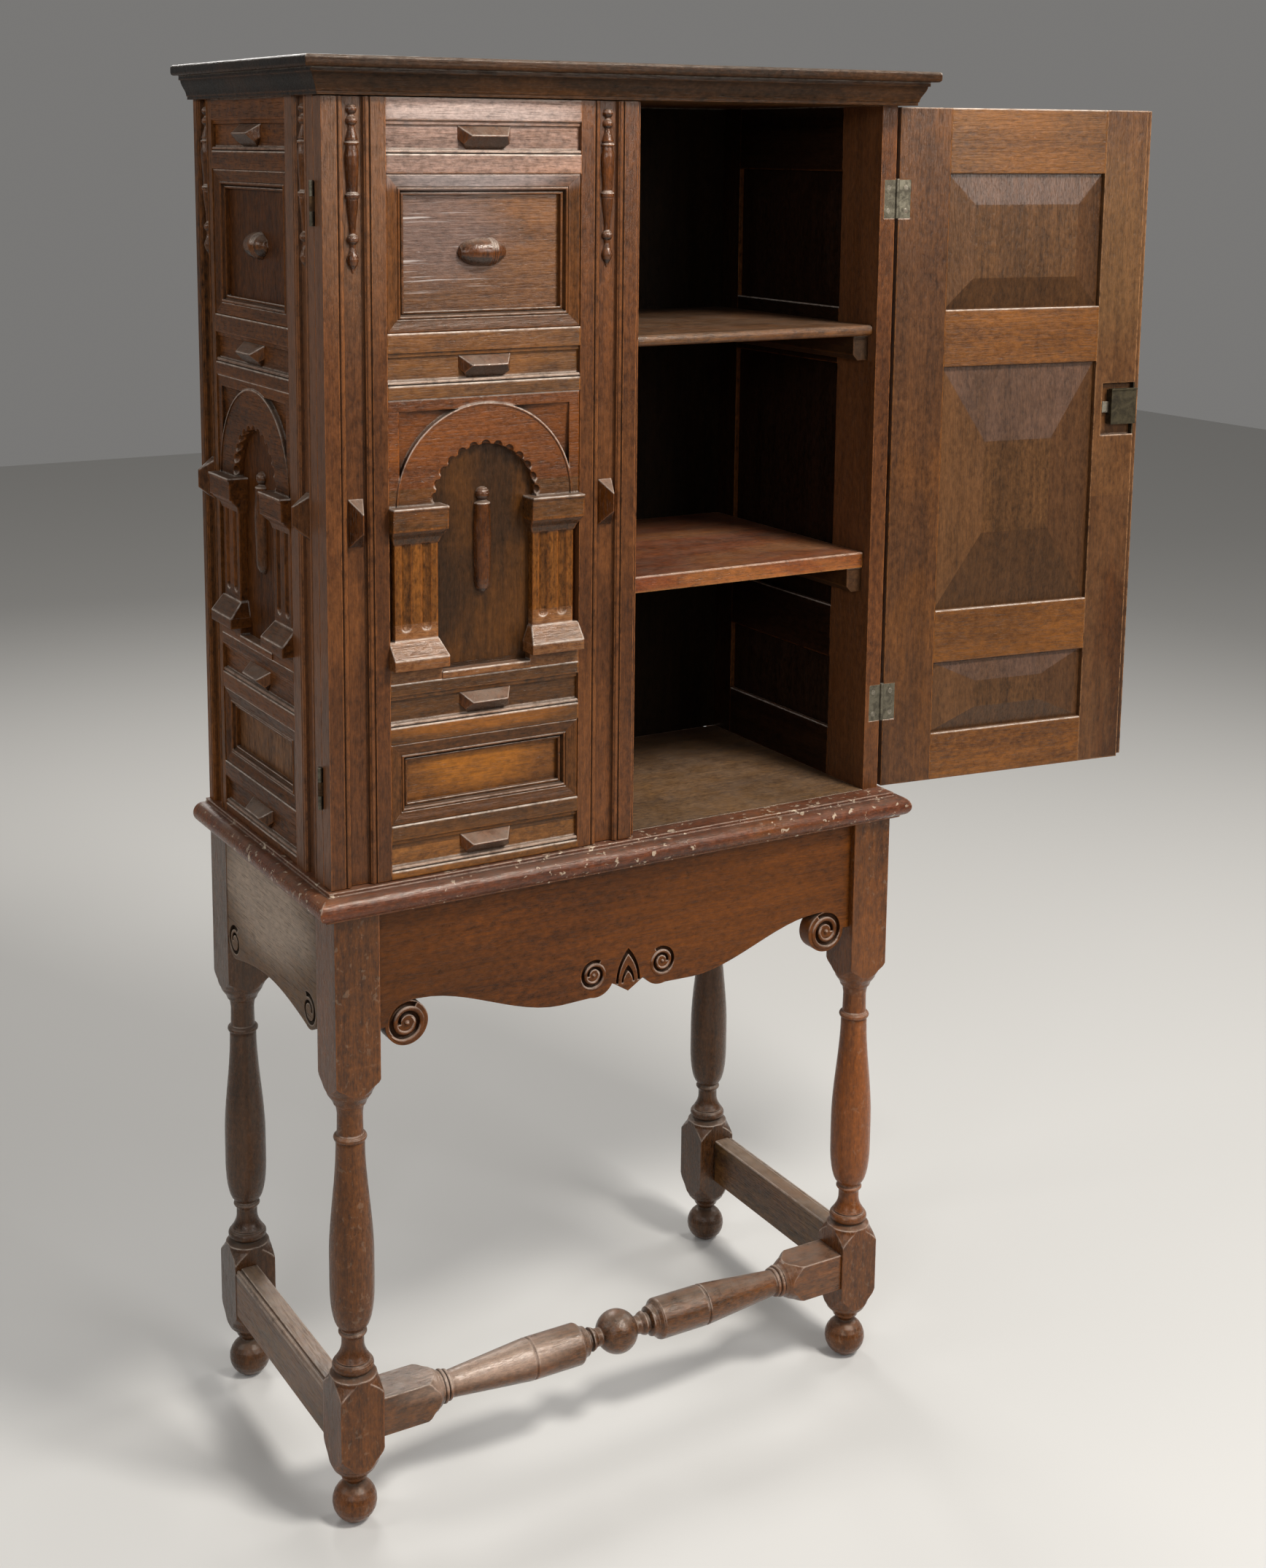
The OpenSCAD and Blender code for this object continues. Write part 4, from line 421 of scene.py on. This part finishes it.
oaks = {
    "stile": oak("oak_stile", "z", BROWN_D, BROWN_L, srgb(166, 100, 48), wear=0.2, edge=0.85, arris_r=0.0014,
                 # painted light: faces that look left are lighter, and the patch at the top of the hinge stile is a
                 # painted sheen
                 tilt=[(0, -1, 0.5, srgb(118, 76, 48), 0.6)],
                 spots=[((-0.34, -0.19, 1.52), (0.06, 0.2, 0.22), srgb(124, 87, 60), 0.5)]),
    "stile_dark": oak("oak_stile_dark", "z", DEEP_D, srgb(112, 68, 32), BROWN_W, wear=0.3, edge=0.6,
                      arris_r=0.0014, inner_shade=0.9, **DULL),
    "rail": oak("oak_rail", "x", BROWN_D, srgb(98, 63, 30), GOLD_W, wear=0.25, dust_and_sheen=0.35, crest_highlight=0.95, arris_r=0.0036,
                # painted light: the pale top zone and the pale spot at 1.592 are a painted sheen on the top rail, and
                # the tilt paints shade on faces that look down
                zones=[(1.48, 1.62, srgb(74, 52, 42), srgb(160, 126, 110)),
                       (0.80, 1.02, srgb(42, 23, 8), srgb(86, 52, 21)),
                       (0.60, 0.80, srgb(62, 34, 12), srgb(126, 80, 35))],
                spots=[((-0.2, -0.19, 0.934), (0.13, 0.1, 0.014), srgb(158, 94, 30), 0.7),
                       ((-0.2, -0.19, 1.592), (0.15, 0.1, 0.016), srgb(214, 192, 182), 0.6)],
                tilt=[(2, -1, 0.2, srgb(22, 13, 7), 0.8)]),
    "rail_side": oak("oak_rail_side", "y", srgb(40, 21, 8), srgb(104, 60, 26), BROWN_W, wear=0.25, dust_and_sheen=0.4,
                     crest_highlight=0.95, arris_r=0.0032, inner_shade=0.9, **DULL),
    "panel": oak("oak_panel", ("x", 1.00, 1.36), srgb(58, 32, 16), srgb(106, 68, 37), GOLD_W, wear=0.2, band=0.5,
                 zones=[(0.99, 1.37, srgb(25, 13, 3), srgb(56, 31, 9)),
                        (0.60, 0.99, srgb(54, 28, 6), srgb(108, 63, 19))],
                 spots=[((-0.195, -0.17, 0.886), (0.085, 0.1, 0.036), srgb(182, 110, 26), 0.55),
                        # the upper panel's purple-grey patch and its glints are a painted sheen
                        ((-0.24, -0.17, 1.47), (0.10, 0.1, 0.06), srgb(120, 97, 90), 0.6)],
                 glints=((-0.235, -0.17, 1.47), (0.10, 0.1, 0.075), 0.6)),
    "panel_side": oak("oak_panel_side", "z", srgb(34, 17, 6), srgb(84, 46, 18), DEEP_W, wear=0.15, spec=0.12,
                      coat=0.05, inner_shade=0.9, zones=[(0.75, 0.98, srgb(52, 32, 18), srgb(120, 82, 52))]),
    "moulding": oak("oak_moulding", ("x", "normal"), DEEP_D, srgb(96, 57, 26), BROWN_W, band=0.5, edge=0.6, crest_highlight=0.85,
                    arris_r=0.0016, rough=0.40, coat=0.15, spec=0.25,
                    # painted light: slopes that look up are darkened, and the pale spot on the top member is a painted
                    # sheen
                    tilt=[(2, 1, 0.02, srgb(88, 51, 22), 0.7)],
                    spots=[((-0.19, -0.19, 1.527), (0.15, 0.1, 0.02), srgb(196, 182, 178), 0.6)]),
    "moulding_side": oak("oak_moulding_side", ("y", "normal"), DEEP_D, srgb(96, 56, 26), BROWN_W, wear=0.2, band=0.5,
                         crest_highlight=0.95, arris_r=0.0018, edge=0.7, **DULL),
    "arcade": oak("oak_arcade", ("x", 1.051, 1.157), RED_D, RED_L, RED_W, wear=0.3, crest_highlight=1.0, rough=0.28,
                  # the tilt paints shade under the capitals and other faces that look down
                  dust_and_sheen=0.4, arris_r=0.0036, tilt=[(2, -1, 0.2, srgb(24, 14, 7), 0.7)],
                  zones=[(1.051, 1.157, srgb(40, 19, 4), srgb(126, 74, 23)),
                         (1.157, 1.1985, srgb(42, 23, 6), srgb(96, 57, 20)),
                         (0.98, 1.051, srgb(62, 34, 16), srgb(132, 91, 55))]),
    "arcade_side": oak("oak_arcade_side", ("y", 1.051, 1.157), DEEP_D, srgb(100, 56, 21), BROWN_W, wear=0.2,
                       crest_highlight=1.0, dust_and_sheen=0.45, arris_r=0.0034, **DULL),
    "ornament": oak("oak_ornament", "z", srgb(42, 21, 8), srgb(104, 57, 22), RED_W, rough=0.20, band=0.5, coat=0.7,
                    # the tilt paints shade on faces that look down
                    crest_highlight=0.85, dust_and_sheen=0.6, arris_r=0.0024, tilt=[(2, -1, 0.35, srgb(22, 12, 6), 0.85)]),
    "ornament_side": oak("oak_ornament_side", "z", DEEP_D, srgb(102, 60, 28), BROWN_W, wear=0.2, rough=0.24, coat=0.4,
                         # the tilt paints shade on faces that look down
                         band=0.5, crest_highlight=0.9, dust_and_sheen=0.55, spec=0.25, tilt=[(2, -1, 0.35, srgb(22, 12, 6), 0.8)]),
    "cornice": oak("oak_cornice", "x", srgb(18, 10, 4), srgb(58, 36, 20), DEEP_W, wear=0.2, edge=0.5, crest_highlight=0.9,
                   rough=0.26, arris_r=0.0026, coat=0.05, spec=0.15,
                   # painted shade: faces that look left are almost black
                   tilt=[(0, -1, 0.5, srgb(14, 9, 6), 0.95)]),
    "stand_top": oak("oak_stand_top", "x", srgb(48, 20, 8), srgb(110, 52, 18), GOLD_W, wear=0.25, edge=0.5, crest_highlight=0.5,
                     chips=1.0, rough=0.26, coat=0.3),
    "apron": oak("oak_apron", "x", srgb(48, 23, 5), srgb(98, 51, 11), srgb(132, 72, 17), wear=0.25, rough=0.32,
                 coat=0.12, spec=0.22, dirt_and_shade=0.75,
                 spots=[((-0.28, -0.19, 0.66), (0.14, 0.2, 0.1), srgb(84, 45, 11), 0.5),
                        ((0.16, -0.19, 0.66), (0.20, 0.2, 0.09), srgb(104, 55, 10), 0.5)]),
    "apron_side": oak("oak_apron_side", "y", DEEP_D, srgb(100, 70, 39), DEEP_W, wear=0.2, rough=0.42, coat=0.1,
                      # the pale patch on the left apron is a painted reflection
                      spots=[((-0.37, 0.02, 0.70), (0.2, 0.17, 0.09), srgb(190, 168, 148), 0.75)]),
    "leg": oak("oak_leg", "z", srgb(48, 24, 8), srgb(104, 59, 22), RED_W, wear=0.3, rough=0.24, coat=0.3,
               spec=0.3, chips=0.12, spots=[((0.35, -0.17, 0.34), (0.06, 0.06, 0.20), srgb(156, 84, 29), 0.7)]),
    # the back legs are darker for painted shade
    "leg_back": oak("oak_leg_back_shaded", "z", DEEP_D, srgb(80, 47, 20), DEEP_W, wear=0.2, rough=0.26, coat=0.4),
    "stretcher": oak("oak_stretcher", "x", DEEP_D, srgb(106, 63, 27), RED_W, wear=0.3, rough=0.22, coat=0.6, dust_and_sheen=0.4,
                     # the pale patch on the left taper is a painted highlight
                     spots=[((-0.17, -0.18, 0.146), (0.13, 0.03, 0.018), srgb(200, 170, 150), 0.7)]),
    "stretcher_side": oak("oak_stretcher_side", "y", DEEP_D, srgb(104, 74, 40), BROWN_W, wear=0.3, dust_and_sheen=0.6,
                          crest_highlight=0.8),
    "shelf": oak("oak_shelf", "x", DEEP_D, srgb(108, 70, 37), BROWN_W, edge=0.7, crest_highlight=0.8),
    "shelf_red": oak("oak_shelf_red", "x", srgb(63, 26, 9), srgb(124, 60, 23), srgb(186, 126, 63), edge=0.9,
                     crest_highlight=0.9),
    # very dark for painted shade inside the case; the tilt gives the back's outer face a plain brown
    "inside": oak("oak_inside", "z", srgb(12, 8, 4), srgb(34, 22, 11), srgb(46, 30, 16), rough=0.6, edge=0.2,
                  coat=0.0, dust_and_sheen=0.05, spec=0.1, tilt=[(1, 1, 0.5, srgb(84, 58, 38), 0.9)]),
    "floor": oak("oak_case_floor", "x", srgb(52, 32, 17), srgb(112, 80, 46), srgb(146, 104, 59), rough=0.42,
                 coat=0.15),
    "bearer": oak("oak_bearer", "y", DEEP_D, srgb(60, 38, 19), DEEP_W, wear=0.2, rough=0.5, coat=0.0),
    "in_stile": oak("oak_open_stile", "z", srgb(44, 24, 11), srgb(90, 55, 28), GOLD_W, wear=0.18, turn=OPEN,
                    tilt=[(1, 1, 0.5, srgb(90, 52, 24), 0.8)]),
    "in_lock_stile": oak("oak_open_lock_stile", "z", srgb(48, 25, 9), srgb(93, 57, 26), srgb(168, 120, 78), wear=0.15,
                         # the pale worn arris along this stile also stands in for a painted highlight
                         turn=OPEN, edge=0.8, crest_highlight=0.5, tilt=[(1, 1, 0.5, srgb(90, 52, 24), 1.0)],
                         zones=[(0.6, 1.12, srgb(40, 20, 6), srgb(77, 43, 17))],
                         spots=[((0.66, -0.22, 1.45), (0.2, 0.2, 0.16), srgb(123, 87, 51), 0.5)]),
    "in_rail": oak("oak_open_rail", "x", srgb(59, 31, 8), srgb(112, 67, 23), srgb(142, 84, 22), turn=OPEN,
                   edge=0.5, crest_highlight=1.0, arris_r=0.0034,
                   zones=[(1.48, 1.62, srgb(59, 34, 14), srgb(113, 72, 33))]),
    "in_panel": oak("oak_open_panel", "z", srgb(42, 25, 11), srgb(90, 58, 30), srgb(122, 76, 32), wear=0.18,
                    turn=OPEN, crest_highlight=0.6,
                    # painted light on the bevels: a sheen on those that look up, shade on those that look down, and
                    # lighter and darker sides
                    tilt=[(2, 1, 0.012, srgb(98, 76, 68), 0.5), (2, -1, 0.012, srgb(58, 33, 12), 0.6),
                          (0, -1, 0.14, srgb(112, 74, 44), 0.5), (0, 1, -0.10, srgb(76, 46, 26), 0.5)]),
}
brass = metal("aged_brass", srgb(122, 115, 98), srgb(84, 78, 66), srgb(34, 29, 22))
lock_brass = metal("lock_brass", srgb(88, 79, 60), srgb(54, 48, 37), srgb(26, 22, 16), rough=0.34)
dark_brass = metal("dark_brass", srgb(96, 72, 48), srgb(66, 48, 34), srgb(36, 26, 20), rough=0.45)
steel = metal("aged_steel", srgb(150, 142, 126), srgb(104, 96, 84), srgb(56, 46, 38), rust=0.35)

NAMED = {  # each wooden node's oak
    "leg_front_left": "leg", "leg_front_right": "leg", "leg_back_left": "leg_back", "leg_back_right": "leg_back",
    "front_apron": "apron", "left_apron": "apron_side", "right_apron": "apron_side", "back_apron": "shelf",
    "front_stretcher": "stretcher", "left_stretcher": "stretcher_side", "right_stretcher": "stretcher_side",
    "stand_moulding": "stand_top", "case_floor": "floor", "case_top": "shelf", "cornice_moulding": "cornice",
    "cap_board": "cornice", "case_back": "inside", "upper_shelf": "shelf", "lower_shelf": "shelf_red",
    "shelf_bearers": "bearer",
    "left_door_hinge_stile": "stile", "left_door_meeting_stile": "stile", "left_door_rails": "rail",
    "left_door_panels": "panel", "left_door_mouldings": "moulding", "left_door_arcade": "arcade",
    "left_door_ornaments": "ornament",
    "right_door_hinge_stile": "in_stile", "right_door_meeting_stile": "in_lock_stile", "right_door_rails": "in_rail",
    "right_door_panels": "in_panel", "right_door_mouldings": "moulding", "right_door_arcade": "arcade",
    "right_door_ornaments": "ornament",
}
for side in ("left_side", "right_side"):
    NAMED[side + "_front_stile"] = "stile"
    NAMED[side + "_back_stile"] = "stile_dark"
    for part in ("rail", "panel", "moulding", "ornament"):
        NAMED[side + "_" + part + "s"] = part + "_side"
    NAMED[side + "_arcade"] = "arcade_side"
METALS = {
    "case_hinge_leaves": brass, "left_door_hinge_leaves": dark_brass, "right_door_hinge_leaves": brass,
    "hinge_pins": steel, "case_hinge_screws": steel, "left_door_screws": steel, "right_door_screws": steel,
    "lock_case": lock_brass, "lock_bolt": steel, "lock_strike": brass,
}
for name, obj in nodes.items():
    for s in obj.material_slots:
        s.material = METALS[name] if name in METALS else oaks[NAMED[name]]
    if name not in METALS:
        obj.modifiers.new("solid_values", "NODES").node_group = VALUES


# ---------------------------------------------------------------- carved scrolls
RIBS = 9  # points across a ridge's round back
FOOT_SET = 0.0004  # how deep a ridge's foot is set into the face
SCROLL_STEPS = 96
SCROLL_FROM, SCROLL_SWEEP = -150, 560  # degrees
TIP, TIP_SLOPE, SHRINK = 0.35, 5, 0.35  # a ridge's size at its ends, how fast it fills out, and its loss inwards
BUTTON_RINGS, BUTTON_POINTS = 5, 20
BUTTON_SET = 0.004  # how deep a button's rim is set into the face
APRON_FACE = -0.1865
# Shares of a scroll's radius: how far out its ridge runs at 60 degrees, and how much it winds in with each turn
WIND, WIND_IN = 0.655, 0.37
RIDGE_WIDTH, RIDGE_HEIGHT = 0.25, 0.085
BUTTON_RADIUS, BUTTON_RISE = 0.15, 0.13
SCROLLS = (  # name, radius, distance from the middle, height
    ("front_scroll_", 0.026, 0.2865, 0.598),
    ("middle_scroll_", 0.020, 0.047, 0.606),
)


def carved(name, verts, faces, place, material):
    """A smooth piece, drawn on a face in X and Z with Y into it, that rides on the case."""
    data = bpy.data.meshes.new(name)
    data.from_pydata(verts, [], faces)
    data.transform(place)
    data.validate()
    for f in data.polygons:
        f.use_smooth = True
    data.materials.append(material)
    obj = bpy.data.objects.new(name, data)
    scene.collection.objects.link(obj)
    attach(obj, "case")


def ridge_mesh(path, widths, heights):
    """A ridge with a round back along path, flat points of a face, with a width and a height at each."""
    verts, faces = [], []
    for i, (px, pz) in enumerate(path):
        ax, az = path[max(i - 1, 0)]
        bx, bz = path[min(i + 1, len(path) - 1)]
        long = math.hypot(bx - ax, bz - az)
        nx, nz = -(bz - az) / long, (bx - ax) / long
        for j in range(RIBS):
            a = math.pi * j / (RIBS - 1)
            off = widths[i] / 2 * math.cos(a)
            verts.append((px + nx * off, -heights[i] * math.sin(a) + FOOT_SET, pz + nz * off))
    for i in range(len(path) - 1):
        k = i * RIBS
        for j in range(k, k + RIBS - 1):
            faces.append((j, j + 1, j + RIBS + 1, j + RIBS))
        faces.append((k + RIBS - 1, k, k + RIBS, k + 2 * RIBS - 1))
    faces.append(tuple(range(RIBS)))
    faces.append(tuple(len(verts) - 1 - j for j in range(RIBS)))
    return verts, faces


def scroll_path(r):
    """The raised roll between a scroll's grooves: it winds inwards, gets smaller and tapers at both ends."""
    path, widths, heights = [], [], []
    for i in range(SCROLL_STEPS + 1):
        t = i / SCROLL_STEPS
        a = math.radians(SCROLL_FROM + SCROLL_SWEEP * t)
        q = r * (WIND + WIND_IN * (60 - math.degrees(a)) / 360)
        path.append((q * math.cos(a), q * math.sin(a)))
        taper = min(1.0, TIP + TIP_SLOPE * t, TIP + TIP_SLOPE * (1 - t)) * (1.0 - SHRINK * t)
        widths.append(r * RIDGE_WIDTH * taper)
        heights.append(r * RIDGE_HEIGHT * taper)
    return path, widths, heights


def button_mesh(width, rise):
    """The domed button at a scroll's eye, with its radius and its height above the face."""
    verts, faces = [(0, -rise, 0)], []
    for i in range(1, BUTTON_RINGS + 1):
        a = math.pi / 2 * i / BUTTON_RINGS
        for j in range(BUTTON_POINTS):
            b = 2 * math.pi * j / BUTTON_POINTS
            verts.append((width * math.sin(a) * math.cos(b), BUTTON_SET - (rise + BUTTON_SET) * math.cos(a),
                          width * math.sin(a) * math.sin(b)))
    for j in range(BUTTON_POINTS):
        beside = (j + 1) % BUTTON_POINTS
        faces.append((0, 1 + beside, 1 + j))
        for i in range(BUTTON_RINGS - 1):
            k = 1 + i * BUTTON_POINTS
            faces.append((k + j, k + beside, k + BUTTON_POINTS + beside, k + BUTTON_POINTS + j))
    return verts, faces


for side, sign in (("left", -1), ("right", 1)):
    for name, r, across, height in SCROLLS:
        place = Matrix.Translation((sign * across, APRON_FACE, height)) @ Matrix.Diagonal((-sign, 1, 1, 1))
        carved(name + side + "_roll", *ridge_mesh(*scroll_path(r)), place, oaks["apron"])
        carved(name + side + "_button", *button_mesh(r * BUTTON_RADIUS, r * BUTTON_RISE), place, oaks["apron"])

# ---------------------------------------------------------------- floor and light
FLOOR_HALF, FLOOR_COLOUR, FLOOR_ROUGHNESS = 8, (0.62, 0.61, 0.59, 1), 0.6
WARM = (1.0, 0.98, 0.95)
WORLD_STRENGTH = 0.19
LAMPS = (  # name, place, aim, size, watts, colour
    ("key", (0.9, -2.05, 3.4), (0, 0, 0.9), (0.8, 0.6), 114, (1.0, 0.97, 0.92)),
    ("sheen", (1.35, -2.9, 2.15), (0, 0, 1.5), (1.3, 1.0), 30, (1.0, 1.0, 1.0)),
    ("fill", (-2.4, -2.6, 2.2), (0, 0, 0.8), (1.0, 0.8), 24, (0.95, 0.97, 1.0)),
    ("side", (-3.0, 0.6, 2.4), (0, 0, 1.0), (0.8, 0.8), 18, WARM),
    ("back", (0.6, 3.2, 2.8), (0, 0, 0.9), (1.4, 1.0), 44, WARM),
    ("right", (3.4, 0.5, 2.4), (0, 0, 1.0), (1.0, 0.8), 30, WARM),
)

mesh = bpy.data.meshes.new("floor")
mesh.from_pydata([(-FLOOR_HALF, -FLOOR_HALF, 0), (FLOOR_HALF, -FLOOR_HALF, 0), (FLOOR_HALF, FLOOR_HALF, 0),
                  (-FLOOR_HALF, FLOOR_HALF, 0)], [], [(0, 1, 2, 3)])
floor = bpy.data.objects.new("floor", mesh)
scene.collection.objects.link(floor)
pale_floor = Graph("floor_pale")
pale_floor.finish(Base_Color=FLOOR_COLOUR, Roughness=FLOOR_ROUGHNESS)
mesh.materials.append(pale_floor.material)

world = bpy.data.worlds.new("world")
scene.world = world
world.use_nodes = True
sky = world.node_tree.nodes["Background"].inputs
sky["Color"].default_value = (*WARM, 1)
sky["Strength"].default_value = WORLD_STRENGTH

for name, place, aim, size, watts, colour in LAMPS:
    light = bpy.data.lights.new(name, "AREA")
    light.shape = "RECTANGLE"
    light.size, light.size_y = size
    light.energy = watts
    light.color = colour
    lamp = bpy.data.objects.new(name, light)
    lamp.location = place
    lamp.rotation_euler = (Vector(aim) - Vector(place)).to_track_quat("-Z", "Y").to_euler()
    scene.collection.objects.link(lamp)
